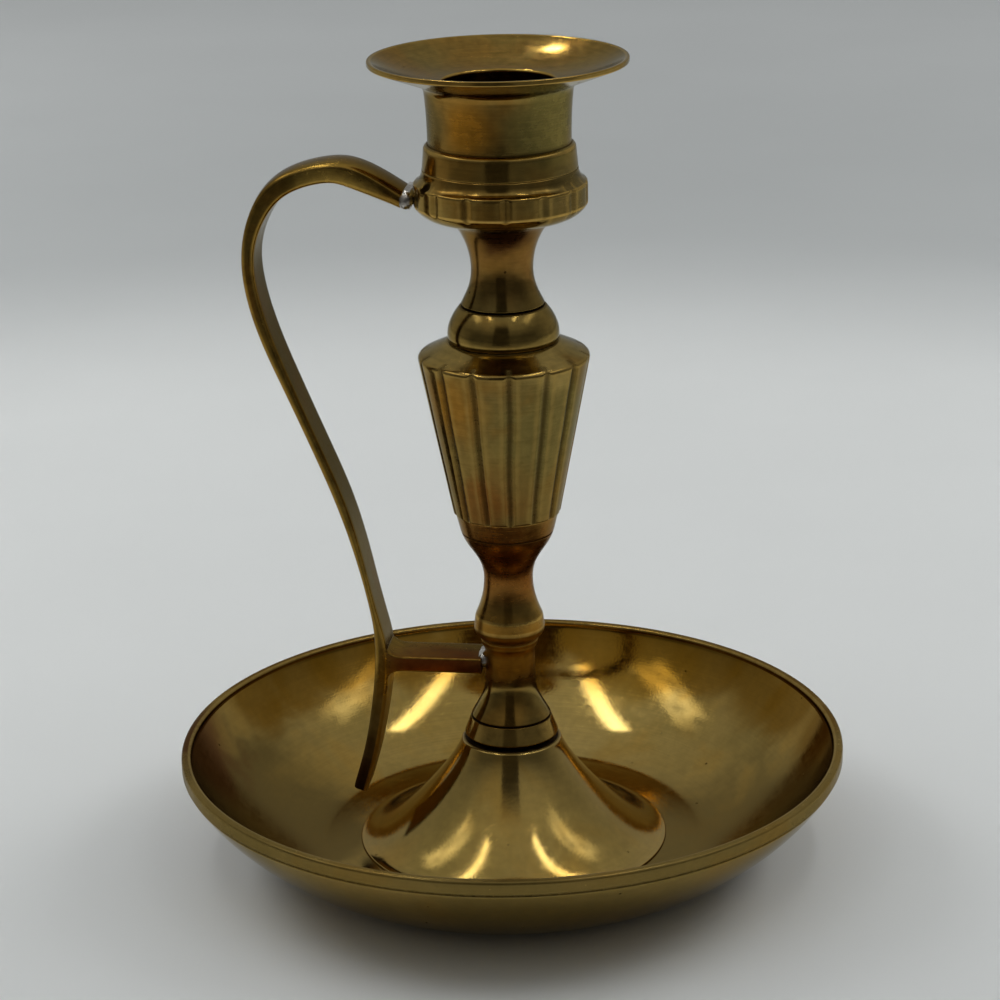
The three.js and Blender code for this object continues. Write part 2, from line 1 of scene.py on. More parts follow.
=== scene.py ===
"""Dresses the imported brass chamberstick.

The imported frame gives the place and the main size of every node. Each node is replaced by a finer piece
with the same outline: turned pieces with softened edges, scribed lines and flutes, a cast handle, solder at
its two joints, and a threaded tie rod with its nuts. The finishes are an old brass, worn bright at the edges
and dark in the seams, soft solder and plain steel. The pieces stand on a pale floor under strip lamps and
wider ones.
"""
import logging
import math
from dataclasses import dataclass, field, replace
from enum import Enum
from functools import partialmethod

import bmesh
import bpy
from mathutils import Matrix, Vector, noise


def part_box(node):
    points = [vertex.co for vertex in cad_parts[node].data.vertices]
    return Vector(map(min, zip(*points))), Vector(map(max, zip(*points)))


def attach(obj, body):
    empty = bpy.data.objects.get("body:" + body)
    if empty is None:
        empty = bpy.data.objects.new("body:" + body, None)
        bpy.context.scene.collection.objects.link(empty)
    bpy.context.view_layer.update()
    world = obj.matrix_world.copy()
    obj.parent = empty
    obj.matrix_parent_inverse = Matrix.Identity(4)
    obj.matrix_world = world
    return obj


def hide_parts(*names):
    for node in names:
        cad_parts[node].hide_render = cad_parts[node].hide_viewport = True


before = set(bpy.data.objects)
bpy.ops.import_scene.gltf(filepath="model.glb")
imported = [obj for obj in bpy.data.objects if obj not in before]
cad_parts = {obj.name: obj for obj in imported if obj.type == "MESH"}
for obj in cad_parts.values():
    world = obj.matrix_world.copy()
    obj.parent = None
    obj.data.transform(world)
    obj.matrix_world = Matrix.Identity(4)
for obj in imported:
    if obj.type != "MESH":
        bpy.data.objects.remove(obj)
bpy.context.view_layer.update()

MM = 0.001  # one millimetre, in the scene's metres
LOG = logging.getLogger("chamberstick")

MARKS = ("residue", "wear")  # what the points of a brass piece carry besides their place

Colour = tuple[float, float, float]
Pair = tuple[float, float]
Place = tuple[float, float, float]
Point = tuple[float, float]  # radius and height, in millimetres
MarkedPoint = tuple[float, float, float, float]  # radius, height, residue and wear
Material = bpy.types.Material
Socket = bpy.types.NodeSocket


class Body(Enum):
    """The two bodies of the frame."""

    BASE = "base"
    STEM = "stem"


class Slot(Enum):
    """The material slots of the record."""

    TRAY = "tray_brass"
    STEM = "stem_brass"
    HANDLE = "handle_brass"
    SOLDER = "solder"
    STEEL = "fixing_steel"


class Grain(Enum):
    """How a surface was worked, which sets the run of its fine lines."""

    TURNED = "lines round the axis"
    CAST = "filed casting, with fine pits"


@dataclass(frozen=True)
class Span:
    """Where a node of the frame lies, in millimetres."""

    low: float
    high: float
    radius: float


def span_of(node: str) -> Span:
    """Return where a node of the frame lies, with its greatest reach along +X or +Y as its radius."""
    low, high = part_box(node)
    return Span(low.z / MM, high.z / MM, max(high.x, high.y) / MM)


def blend(low: float, high: float, share: float) -> float:
    """Return the value that lies a share of the way from low to high."""
    return low + (high - low) * share


class Wiring:
    """Adds and links the nodes of one node tree."""

    def __init__(self, tree: bpy.types.NodeTree) -> None:
        """Keep the tree that the nodes go into."""
        self.tree = tree

    def feed(self, node: bpy.types.Node, inputs: dict) -> None:
        """Feed the inputs of a node.

        Args:
            node: the node.
            inputs: a socket to link or a value to set, by the input's name or number.
        """
        for key, value in inputs.items():
            if isinstance(value, Socket):
                self.tree.links.new(value, node.inputs[key])
            else:
                node.inputs[key].default_value = value

    def node(self, kind: str, inputs: dict | None = None, **settings: object) -> bpy.types.Node:
        """Add one node.

        Args:
            kind: the node's type name.
            inputs: values or sockets, by the input's name or number.
            settings: the node's own properties.

        Returns:
            The new node.
        """
        made = self.tree.nodes.new(kind)
        for name, value in settings.items():
            setattr(made, name, value)
        self.feed(made, inputs or {})
        return made

    def math(self, operation: str, *values: object) -> Socket:
        """Return the result of one sum on numbers or sockets."""
        return self.node("ShaderNodeMath", dict(enumerate(values)), operation=operation).outputs[0]

    plus = partialmethod(math, "ADD")
    minus = partialmethod(math, "SUBTRACT")
    times = partialmethod(math, "MULTIPLY")
    over = partialmethod(math, "DIVIDE")
    most = partialmethod(math, "MAXIMUM")

    def vector(self, operation: str, *values: object) -> Socket:
        """Return the vector result of one sum on vectors or sockets."""
        return self.node("ShaderNodeVectorMath", dict(enumerate(values)), operation=operation).outputs[0]

    def scaled(self, vector: Socket, factor: object) -> Socket:
        """Return a vector or a colour with each of its parts times a number."""
        return self.node("ShaderNodeVectorMath", {0: vector, 3: factor}, operation="SCALE").outputs[0]

    def length(self, vector: Socket) -> Socket:
        """Return a vector's length."""
        return self.node("ShaderNodeVectorMath", {0: vector}, operation="LENGTH").outputs["Value"]

    def reach(self, vector: Socket, way: Vector) -> Socket:
        """Return how far a vector goes in a direction."""
        inputs = {0: vector, 1: tuple(way)}
        return self.node("ShaderNodeVectorMath", inputs, operation="DOT_PRODUCT").outputs["Value"]

    def join(self, x: object, y: object, z: object) -> Socket:
        """Return the vector of three numbers."""
        return self.node("ShaderNodeCombineXYZ", {0: x, 1: y, 2: z}).outputs[0]

    def split(self, vector: Socket) -> list[Socket]:
        """Return a vector's three numbers."""
        return list(self.node("ShaderNodeSeparateXYZ", {0: vector}).outputs)

    def step(self, value: object, low: float, high: float, start: object = 0.0, end: object = 1.0) -> Socket:
        """Return a value carried smoothly from start, up to low, to end, from high on."""
        inputs = {0: value, 1: low, 2: high, 3: start, 4: end}
        return self.node("ShaderNodeMapRange", inputs, interpolation_type="SMOOTHSTEP").outputs[0]

    def varied(self, noise: Socket, start: float, end: float) -> Socket:
        """Spread nearly all of a noise's values between two results."""
        return self.step(noise, 0.2, 0.8, start, end)

    def mix(self, share: object, first: object, second: object) -> Socket:
        """Return a mix of two colours, with a share of the second."""
        inputs = {0: share, 6: opaque(first), 7: opaque(second)}
        return self.node("ShaderNodeMix", inputs, data_type="RGBA").outputs[2]

    def noise(self, where: Socket, scale: float, detail: float = 3.0, distortion: float = 0.0) -> Socket:
        """Return a noise of so many features to a unit, with finer layers, about 0.5 on average."""
        inputs = {"Vector": where, "Scale": scale, "Detail": detail, "Distortion": distortion}
        return self.node("ShaderNodeTexNoise", inputs).outputs[0]

    def place(self) -> Socket:
        """Return the object's own coordinates, in metres."""
        return self.node("ShaderNodeTexCoord").outputs["Object"]

    def relief(self, height: Socket, distance: float, **under: Socket) -> Socket:
        """Return the surface's direction with a relief of so many metres on it, or on the one under it."""
        inputs = {"Strength": 1.0, "Distance": distance, "Height": height, **under}
        return self.node("ShaderNodeBump", inputs).outputs[0]


def opaque(value: object) -> object:
    """Return a colour with its alpha, or a socket as it is."""
    return (*value, 1.0) if isinstance(value, tuple) and len(value) == 3 else value


def blank_material(name: str) -> tuple[Material, Wiring, bpy.types.Node]:
    """Start a material.

    Args:
        name: the material's name.

    Returns:
        The material, its wiring and its surface shader.
    """
    made = bpy.data.materials.new(name)
    made.use_nodes = True
    return made, Wiring(made.node_tree), made.node_tree.nodes["Principled BSDF"]


# Finishes


def on_flank(turn: float, radius: float, height: float) -> Place:
    """Return the point at a turn from -Y towards +X, in degrees, with a radius and a height."""
    angle = math.radians(turn - 90.0)
    return radius * math.cos(angle), radius * math.sin(angle), height


@dataclass(frozen=True)
class Stain:
    """A patch of another colour on the metal, round a point of the part in millimetres."""

    centre: Place
    reach: float
    colour: Colour
    strength: float
    dull: float = 0.14  # how much rougher it is than the metal round it
    fade: Pair = (0.5, 1.2)  # where it starts and ends to fade, as shares of its reach
    ragged: float = 0.25  # how far its edge strays, as a share of its reach


@dataclass(frozen=True)
class BrassFinish:
    """An old brass: its colours, its gloss and the marks on it."""

    name: str
    gold: Colour  # lately rubbed metal
    olive: Colour  # tarnished metal
    amber: Colour  # warm patches
    grain: Grain
    amber_share: float = 0.6
    roughness: float = 0.2
    grain_size: float = 0.5  # millimetres
    grain_height: float = 3.0e-6  # metres
    line_height: float = 2.0e-6  # metres
    line_rate: float = 2.6  # turned lines to a millimetre
    line_slant: float = 0.92  # how much a millimetre of radius counts as height
    line_breaks: float = 1.6  # how often a turned line changes on its way round
    file_rate: float = 1.1  # file marks to a millimetre of a casting
    mottling: float = 1.0  # how strongly the colour is clouded
    mottle_rate: float = 0.55  # blotches to a millimetre
    wear_gain: float = 1.25
    wear_cover: Pair = (0.35, 0.75)  # how much of a worn edge is bright, in dark and in pale blotches
    residue: Colour = (0.014, 0.006, 0.002)
    residue_dull: float = 0.3  # how much rougher residue is
    residue_metal: float = 0.25  # how metallic residue is
    speck_rate: float = 0.11  # dark specks to a millimetre
    speck_size: Pair = (0.018, 0.045)  # a speck's core and its edge, as shares of its cell
    speck_strength: float = 0.75
    edge_tint: Colour = (0.66, 0.66, 0.60)  # what a glancing reflection keeps of its colour
    patch: float = 26.0  # millimetres across
    seed: float = 0.0
    stains: tuple[Stain, ...] = ()

    def lines(self, wiring: Wiring, place: Socket) -> Socket:
        """Make the fine lines that working the metal left.

        Args:
            wiring: the material's wiring.
            place: the coordinates, in millimetres.

        Returns:
            The lines' height, from 0 to 1.
        """
        if self.grain is Grain.CAST:
            return wiring.noise(place, self.file_rate, 4.0, 0.6)
        x, y, z = wiring.split(place)
        flat = wiring.join(x, y, 0.0)
        radius = wiring.most(wiring.length(flat), 0.1)
        round_the_axis = wiring.scaled(flat, wiring.over(self.line_breaks, radius))
        climbed = wiring.times(wiring.plus(z, wiring.times(radius, self.line_slant)), self.line_rate)
        swept = wiring.vector("ADD", round_the_axis, wiring.join(0.0, 0.0, climbed))
        return wiring.noise(swept, 1.0, 2.5)

    def material(self) -> Material:
        """Build the finish.

        Returns:
            The material, which reads object coordinates and the pieces' wear and residue attributes.
        """
        made, wiring, shader = blank_material(self.name)
        place = wiring.scaled(wiring.place(), 1.0 / MM)
        shifted = wiring.vector("ADD", place, (self.seed, 2.0 * self.seed, 0.5 * self.seed))
        marks = (wiring.node("ShaderNodeAttribute", attribute_name=mark) for mark in MARKS)
        dirt, wear = (mark.outputs["Fac"] for mark in marks)
        clouds = wiring.noise(shifted, 1.0 / self.patch, 2.0, 0.8)
        warmth = wiring.noise(wiring.vector("ADD", shifted, (91.0, 37.0, 11.0)), 1.4 / self.patch, 3.0, 0.5)
        mottle = wiring.noise(shifted, self.mottle_rate, 5.0, 0.3)
        grain = wiring.noise(shifted, 1.0 / self.grain_size, 2.0)
        lines = self.lines(wiring, place)

        colour = wiring.mix(wiring.step(clouds, 0.32, 0.68), self.gold, self.olive)
        warm = wiring.times(wiring.step(warmth, 0.48, 0.68), self.amber_share)
        colour = wiring.mix(warm, colour, self.amber)
        dulled = 0.0
        for stain in self.stains:
            away = wiring.length(wiring.vector("SUBTRACT", place, stain.centre))
            stray = stain.ragged * stain.reach
            ragged = wiring.plus(away, wiring.step(warmth, 0.3, 0.7, -stray, stray))
            start, end = (share * stain.reach for share in stain.fade)
            cover = wiring.step(ragged, start, end, stain.strength, 0.0)
            colour = wiring.mix(cover, colour, stain.colour)
            dulled = wiring.most(wiring.times(cover, stain.dull), dulled)
        spots = wiring.varied(mottle, 1.0 - 0.16 * self.mottling, 1.0 + 0.14 * self.mottling)
        rings = wiring.varied(lines, 1.0 - 0.1 * self.mottling, 1.0 + 0.1 * self.mottling)
        colour = wiring.scaled(colour, wiring.times(spots, rings))
        polish = wiring.times(wear, wiring.step(mottle, 0.25, 0.6, *self.wear_cover))
        colour = wiring.mix(polish, colour, tuple(self.wear_gain * part for part in self.gold))
        cells = wiring.node("ShaderNodeTexVoronoi", {"Vector": shifted, "Scale": self.speck_rate})
        speck = wiring.step(cells.outputs["Distance"], *self.speck_size, 1.0, 0.0)
        grime = wiring.times(dirt, wiring.step(mottle, 0.15, 0.55, 0.85, 1.0))
        grime = wiring.most(grime, wiring.times(speck, self.speck_strength))
        rough = wiring.plus(wiring.varied(mottle, -0.035, 0.045), self.roughness)
        rough = wiring.plus(rough, wiring.varied(lines, -0.02, 0.03))
        rough = wiring.plus(rough, wiring.times(grime, self.residue_dull))
        fine = wiring.relief(grain, self.grain_height)
        wiring.feed(shader, {
            "Base Color": wiring.mix(grime, colour, self.residue),
            "Metallic": wiring.step(grime, 0.0, 1.0, 1.0, self.residue_metal),
            "Roughness": wiring.plus(rough, dulled),
            "Specular Tint": opaque(self.edge_tint),
            "Specular IOR Level": 0.0,
            "Normal": wiring.relief(lines, self.line_height, Normal=fine),
        })
        return made


@dataclass(frozen=True)
class PlainMetalFinish:
    """Soft solder or bare steel: a grey metal, clouded and slightly rough."""

    name: str
    bright: Colour
    dull: Colour
    roughness: float
    feature: float  # millimetres across
    bump_height: float  # metres
    grain_rate: float = 3.0  # to a millimetre

    def material(self) -> Material:
        """Build the finish.

        Returns:
            The material, which reads object coordinates.
        """
        made, wiring, shader = blank_material(self.name)
        place = wiring.scaled(wiring.place(), 1.0 / MM)
        clouds = wiring.noise(place, 1.0 / self.feature, 4.0, 0.6)
        fine = wiring.noise(place, self.grain_rate, 3.0)
        colour = wiring.mix(wiring.step(clouds, 0.36, 0.6), self.bright, self.dull)
        wiring.feed(shader, {
            "Base Color": wiring.scaled(colour, wiring.varied(fine, 0.85, 1.1)),
            "Metallic": 1.0,
            "Roughness": wiring.step(clouds, 0.3, 0.7, self.roughness - 0.08, self.roughness + 0.12),
            "Normal": wiring.relief(fine, self.bump_height),
        })
        return made


ORANGE_TARNISH: Colour = (0.400, 0.170, 0.015)
GREEN_TARNISH: Colour = (0.190, 0.152, 0.042)
BROWN_TARNISH: Colour = (0.150, 0.106, 0.034)
RED_TARNISH: Colour = (0.225, 0.080, 0.013)
DEEP_RED_TARNISH: Colour = (0.130, 0.034, 0.007)
# painted reflection: a near-black brown for the dark reflection on the front of the neck's top
PAINTED_DARK_REFLECTION: Colour = (0.060, 0.022, 0.006)
RUBBED_TAIL: Colour = (0.560, 0.380, 0.110)
# rubbed metal on the handle's arch, made paler still as painted sheen
WORN_AND_SHEEN_ARCH: Colour = (0.460, 0.290, 0.062)
# rubbed metal on the vase's shoulder, made paler still as painted sheen
WORN_AND_SHEEN_SHOULDER: Colour = (0.370, 0.255, 0.075)
# painted sheen: a paler gold for the back wall of the tray's bowl, in place of more light from above
# reflected there
PAINTED_WALL_SHEEN: Colour = (0.520, 0.365, 0.115)
DULL_FLOOR: Colour = (0.185, 0.122, 0.034)
AMBER_RIM: Colour = (0.420, 0.230, 0.022)
AMBER_WALL: Colour = (0.255, 0.122, 0.009)
TRAY_BRASS = BrassFinish(
    "tray brass", (0.430, 0.292, 0.084), (0.355, 0.245, 0.068), (0.440, 0.258, 0.052), Grain.TURNED,
    roughness=0.075, grain_size=0.55, grain_height=8.0e-6, line_height=3.5e-6, mottling=0.45, wear_gain=1.1,
    seed=3.0, edge_tint=(0.72, 0.70, 0.62),
    stains=(
        # painted sheen on the bowl's back wall, standing in for light from above reflected there
        Stain((8.0, 56.0, 12.0), 26.0, PAINTED_WALL_SHEEN, 0.7, 0.0),
        Stain((25.0, 64.0, 24.0), 17.0, AMBER_RIM, 0.6, 0.0),
        Stain((-50.0, -3.0, 6.0), 31.0, DULL_FLOOR, 0.9),
        Stain((42.0, 0.0, 5.0), 31.0, DULL_FLOOR, 0.75),
        *(Stain(on_flank(turn, 65.5, 22.5), 11.0, AMBER_WALL, 0.8, 0.0) for turn in range(105, 255, 13)),
        Stain((-69.0, -2.0, 26.0), 18.0, DEEP_RED_TARNISH, 0.75, 0.0),
    ),
)
FOOT_BRASS = replace(
    TRAY_BRASS, name="foot brass", roughness=0.11, seed=29.0, edge_tint=(0.95, 0.93, 0.88), stains=(),
)
STEM_BRASS = BrassFinish(
    "stem brass", (0.320, 0.202, 0.050), (0.245, 0.163, 0.043), (0.320, 0.155, 0.024), Grain.TURNED,
    roughness=0.14, seed=17.0, patch=30.0, wear_gain=1.7,
    stains=(
        Stain(on_flank(-19.0, 14.5, 158.0), 7.5, ORANGE_TARNISH, 0.85),
        Stain(on_flank(50.0, 14.5, 158.0), 10.5, GREEN_TARNISH, 0.85),
        Stain(on_flank(-58.0, 14.5, 158.0), 8.0, BROWN_TARNISH, 0.8),
        Stain(on_flank(66.0, 17.5, 143.0), 9.5, BROWN_TARNISH, 0.8),
        Stain((0.0, 0.0, 68.5), 13.5, RED_TARNISH, 0.95),
        Stain((0.0, 0.0, 46.0), 9.5, ORANGE_TARNISH, 0.9, 0.28),
    ),
)
VASE_BRASS = replace(
    STEM_BRASS, name="vase brass", gold=(0.225, 0.145, 0.037), olive=(0.180, 0.120, 0.034),
    amber=(0.235, 0.118, 0.020), patch=18.0, seed=23.0,
    stains=(
        Stain(on_flank(-38.0, 16.0, 102.0), 9.0, ORANGE_TARNISH, 0.4),
        Stain(on_flank(-22.0, 12.0, 80.0), 6.0, RED_TARNISH, 0.6),
        Stain(on_flank(8.0, 13.0, 84.0), 7.0, RED_TARNISH, 0.35),
        Stain(on_flank(52.0, 15.0, 96.0), 15.0, GREEN_TARNISH, 0.5),
        # painted reflection: the neck's top is darkened all round, and nearly black on its side towards the
        # camera, for the dark reflection there
        Stain((0.0, 0.0, 134.0), 12.5, RED_TARNISH, 0.5),
        Stain(on_flank(3.0, 9.0, 135.5), 6.5, PAINTED_DARK_REFLECTION, 0.95),
        # the vase's shoulder all round: rubbed metal, with painted sheen
        *(Stain(on_flank(turn, 14.5, 111.5), 6.5, WORN_AND_SHEEN_SHOULDER, 0.8, 0.0) for turn in range(0, 360, 45)),
    ),
)
HANDLE_BRASS = BrassFinish(
    "handle brass", (0.165, 0.097, 0.0185), (0.126, 0.079, 0.017), (0.170, 0.075, 0.011), Grain.CAST,
    roughness=0.21, grain_height=4.0e-6, line_height=5.0e-6, seed=41.0, wear_gain=2.4,
    edge_tint=(0.58, 0.57, 0.52),
    stains=(
        Stain((-14.0, -6.0, 40.5), 10.5, DEEP_RED_TARNISH, 0.95),
        Stain((-36.0, -9.0, 15.0), 12.5, DEEP_RED_TARNISH, 0.8),
        # the arch's top: rubbed metal, with painted sheen added
        Stain((-32.0, -9.0, 144.5), 10.5, WORN_AND_SHEEN_ARCH, 0.85, 0.03),
        *(Stain((-22.0, 1.0, height), 9.5, RUBBED_TAIL, 0.95, 0.4) for height in (14.0, 22.0, 30.0)),
    ),
)
SOFT_SOLDER = PlainMetalFinish("soft solder", (0.56, 0.54, 0.49), (0.34, 0.31, 0.27), 0.24, 2.6, 3.0e-6)
BARE_STEEL = PlainMetalFinish("bare steel", (0.34, 0.34, 0.34), (0.20, 0.19, 0.18), 0.34, 3.0, 4.0e-6)


# Outlines of the turned pieces


@dataclass
class Run:
    """One stretch of an outline, with how its end corner is softened."""

    points: list[Point]
    residue: float
    soft: float
    wear: float = 0.0


@dataclass
class Outline:
    """A closed outline of (radius, height), drawn anticlockwise in millimetres."""

    start: Point
    step: float = 0.6  # longest gap between two points
    coarse: float = 4.0  # the same, where the outline is hidden inside the piece
    groove_edge: float = 0.12  # softening of a scribed line's edges
    groove_floor: float = 0.08  # and of its floor
    runs: list[Run] = field(default_factory=list)

    def end(self) -> Point:
        """Return where the outline has got to."""
        return self.runs[-1].points[-1] if self.runs else self.start

    def line(
        self, radius: float, height: float, soft: float = 0.0, residue: float = 0.0, hidden: bool = False,
        wear: float = 0.0,
    ) -> None:
        """Draw a straight stretch.

        Args:
            radius: its end's radius.
            height: its end's height.
            soft: how far from its end the corner there starts to round.
            residue: how much dark polish has stayed on it.
            hidden: whether it is inside, where few points will do.
            wear: how bright it has been rubbed.
        """
        last = self.end()
        length = math.dist(last, (radius, height))
        count = max(1, math.ceil(length / (self.coarse if hidden else self.step)))
        shares = [i / count for i in range(1, count + 1)]
        points = [(blend(last[0], radius, s), blend(last[1], height, s)) for s in shares]
        self.runs.append(Run(points, residue, soft, wear))

    def lines(self, *stretches: tuple[float, ...]) -> None:
        """Draw straight stretches one after another, each given as line takes it."""
        for stretch in stretches:
            self.line(*stretch)

    def curve(self, first: Point, second: Point, to: Point, soft: float = 0.0, hidden: bool = False) -> None:
        """Draw a curved stretch with two guiding points.

        Args:
            first: the point that it sets out towards.
            second: the point that it arrives from.
            to: its end.
            soft: how far from its end the corner there starts to round.
            hidden: whether it is inside, where few points will do.
        """
        last = self.end()
        length = math.dist(last, first) + math.dist(first, second) + math.dist(second, to)
        count = max(6, math.ceil(length / (self.coarse if hidden else self.step)))
        points = []
        for i in range(1, count + 1):
            t = i / count
            weights = ((1 - t) ** 3, 3 * (1 - t) ** 2 * t, 3 * (1 - t) * t * t, t ** 3)
            points.append(tuple(
                sum(w * p[axis] for w, p in zip(weights, (last, first, second, to))) for axis in (0, 1)
            ))
        self.runs.append(Run(points, 0.0, soft))

    def groove(self, radius: float, height: float, width: float, depth: float, dark: float = 1.0) -> None:
        """Cut a scribed line into a flank that climbs.

        Args:
            radius: the flank's radius above the line.
            height: where the line starts.
            width: the line's width.
            depth: the line's depth.
            dark: how much dark polish has stayed in it.
        """
        floor = min(self.end()[0], radius) - depth
        self.runs[-1].soft = self.runs[-1].soft or self.groove_edge
        self.line(floor, height + 0.3 * width, self.groove_floor, dark)
        self.line(floor, height + 0.7 * width, self.groove_floor, dark)
        self.line(radius, height + width, self.groove_edge, 0.6 * dark)

    def down_bore(self, radius: float, span: Span) -> None:
        """Close the outline along the piece's top and down its bore."""
        self.line(radius, span.high, hidden=True)
        self.line(radius, span.low, hidden=True)

    def marked_points(self) -> list[MarkedPoint]:
        """Round the corners.

        Returns:
            The outline's points, each with its residue and its wear.
        """
        runs = self.runs
        walked = []
        for number, run in enumerate(runs):
            before = runs[number - 1]
            walked.append(trimmed([before.points[-1], *run.points], before.soft, run.soft))
        marked = []
        for number, (run, points) in enumerate(zip(runs, walked)):
            start = 0 if runs[number - 1].soft else 1
            marked += [(r, z, run.residue, run.wear) for r, z in points[start:]]
            if run.soft:
                following = (number + 1) % len(runs)
                residue = (run.residue + runs[following].residue) / 2
                marked += rounded(points, run.points[-1], walked[following], residue)
        return marked


def trimmed(points: list[Point], at_start: float, at_end: float) -> list[Point]:
    """Shorten a run of points at both ends.

    Args:
        points: the run.
        at_start: the length to take off its start.
        at_end: the length to take off its end.

    Returns:
        The shortened run, with new end points.
    """
    length = sum(math.dist(a, b) for a, b in zip(points, points[1:]))
    total = at_start + at_end
    scale = min(1.0, 0.9 * length / total) if total else 1.0
    for cut in (at_start * scale, at_end * scale):
        left = cut
        while left > 0 and len(points) > 1:
            gap = math.dist(points[0], points[1])
            if gap > left + 1e-9:
                share = left / gap
                start = tuple(blend(a, b, share) for a, b in zip(points[0], points[1]))
                points = [start, *points[1:]]
                break
            left -= gap
            points = points[1:]
        points = points[::-1]
    return points


def rounded(before: list[Point], corner: Point, after: list[Point], residue: float) -> list[MarkedPoint]:
    """Round one corner between two shortened runs.

    Args:
        before: the run that comes in.
        corner: the sharp corner.
        after: the run that goes out.
        residue: how much dark polish has stayed there.

    Returns:
        The points between the two runs, with wear on corners that stand out.
    """
    first, last = before[-1], after[0]
    turn = (corner[0] - first[0]) * (last[1] - corner[1]) - (corner[1] - first[1]) * (last[0] - corner[0])
    wear = 1.0 if turn > 0 and residue < 0.3 else 0.0
    made = []
    for t in (0.2, 0.4, 0.6, 0.8):
        weights = ((1 - t) ** 2, 2 * (1 - t) * t, t * t)
        place = [sum(w * p[axis] for w, p in zip(weights, (first, corner, last))) for axis in (0, 1)]
        made.append((place[0], place[1], residue, wear))
    return made


# Geometry node trees for what is turned, fluted, threaded or hexagonal


class TurnedTree:
    """A tree that turns an outline's points round the Z axis, as a lathe does.

    The outline is the modified mesh: its points hold (radius, 0, height) and their marks, in order.
    """

    name = "turned form"
    merge = 2.0e-7  # metres: points closer than this are one
    extra_inputs: dict[str, str] = {}

    def __init__(self) -> None:
        """Build the tree."""
        self.tree = bpy.data.node_groups.new(self.name, "GeometryNodeTree")
        self.wiring = Wiring(self.tree)
        face = self.tree.interface
        inputs = {"Outline": "NodeSocketGeometry", "Sides": "NodeSocketInt", "Finish": "NodeSocketMaterial"}
        for label, kind in (inputs | self.extra_inputs).items():
            face.new_socket(label, in_out="INPUT", socket_type=kind)
        face.new_socket("Form", in_out="OUTPUT", socket_type="NodeSocketGeometry")
        self.given = self.wiring.node("NodeGroupInput").outputs
        self.lay_out()

    def lay_out(self) -> None:
        """Wire a grid whose rows follow the outline and whose columns go round the axis."""
        wiring, given = self.wiring, self.given
        size = wiring.node("GeometryNodeAttributeDomainSize", {0: given["Outline"]})
        points = size.outputs["Point Count"]
        rows = wiring.plus(points, 1.0)
        columns = wiring.plus(given["Sides"], 1.0)
        grid = wiring.node("GeometryNodeMeshGrid", {"Vertices X": columns, "Vertices Y": rows})
        index = wiring.node("GeometryNodeInputIndex").outputs[0]
        column = wiring.math("FLOOR", wiring.over(wiring.plus(index, 0.5), rows))
        row = wiring.minus(index, wiring.times(column, rows))
        row = wiring.math("ROUND", wiring.math("FLOORED_MODULO", row, points))
        share = wiring.math("FLOORED_MODULO", wiring.over(column, given["Sides"]), 1.0)
        angle = wiring.times(share, 2.0 * math.pi)
        spot = self.sample("FLOAT_VECTOR", wiring.node("GeometryNodeInputPosition").outputs[0], row)
        radius, _, height = wiring.split(spot)
        shaped = self.shape(radius, angle, height)
        x, y = (wiring.times(shaped, wiring.math(part, angle)) for part in ("COSINE", "SINE"))
        form = self.through(grid.outputs["Mesh"], "SetPosition", Position=wiring.join(x, y, height))
        for mark in MARKS:
            form = self.marked(form, mark, self.sample("FLOAT", self.mark(mark), row))
        form = self.finish_form(form)
        form = self.through(form, "MergeByDistance", Distance=self.merge)
        form = self.through(form, "SetShadeSmooth")
        form = self.through(form, "RealizeInstances")
        form = self.through(form, "SetMaterial", Material=given["Finish"])
        wiring.node("NodeGroupOutput", {0: form})

    def sample(self, kind: str, value: Socket, row: Socket) -> Socket:
        """Return a value of some data type, read from the outline's point of that number."""
        inputs = {"Geometry": self.given["Outline"], "Value": value, "Index": row}
        return self.wiring.node("GeometryNodeSampleIndex", inputs, data_type=kind, domain="POINT").outputs[0]

    def through(self, form: Socket, kind: str, **inputs: object) -> Socket:
        """Return a form that has passed through one geometry node, named without its prefix."""
        return self.wiring.node("GeometryNode" + kind, {"Geometry": form, **inputs}).outputs[0]

    def mark(self, name: str) -> Socket:
        """Return the field of a mark."""
        return self.wiring.node("GeometryNodeInputNamedAttribute", {"Name": name}).outputs[0]

    def marked(self, form: Socket, name: str, value: Socket) -> Socket:
        """Return a form with a mark stored on its points."""
        return self.through(form, "StoreNamedAttribute", Name=name, Value=value)

    def shape(self, radius: Socket, angle: Socket, height: Socket) -> Socket:
        """Return the radius as it is: a plain turned form has nothing cut from it."""
        return radius

    def finish_form(self, form: Socket) -> Socket:
        """Return the form as it is: a plain turned form has no marks of its own."""
        return form

    def make(
        self, label: str, outline: Outline, sides: int, finish: Material,
        sizes: dict[str, object] | None = None,
    ) -> bpy.types.Object:
        """Turn an outline into a plain mesh.

        Args:
            label: the new object's name.
            outline: the outline to turn.
            sides: how many sides the form has.
            finish: its material.
            sizes: the tree's other inputs, by name.

        Returns:
            The new object, with no modifier left on it.
        """
        points = outline.marked_points()
        mesh = bpy.data.meshes.new(label + " outline")
        mesh.from_pydata([(r * MM, 0.0, z * MM) for r, z, _, _ in points], [], [])
        for column, mark in enumerate(MARKS, start=2):
            values = mesh.attributes.new(mark, "FLOAT", "POINT").data
            for number, point in enumerate(points):
                values[number].value = point[column]
        carrier = bpy.data.objects.new(label + " outline", mesh)
        bpy.context.collection.objects.link(carrier)
        modifier = carrier.modifiers.new("turning", "NODES")
        modifier.node_group = self.tree
        given = {"Sides": sides, "Finish": finish, **(sizes or {})}
        for socket in self.tree.interface.items_tree:
            if socket.in_out == "INPUT" and socket.name in given:
                modifier[socket.identifier] = given[socket.name]
        return plain_mesh(label, carrier, modifier)


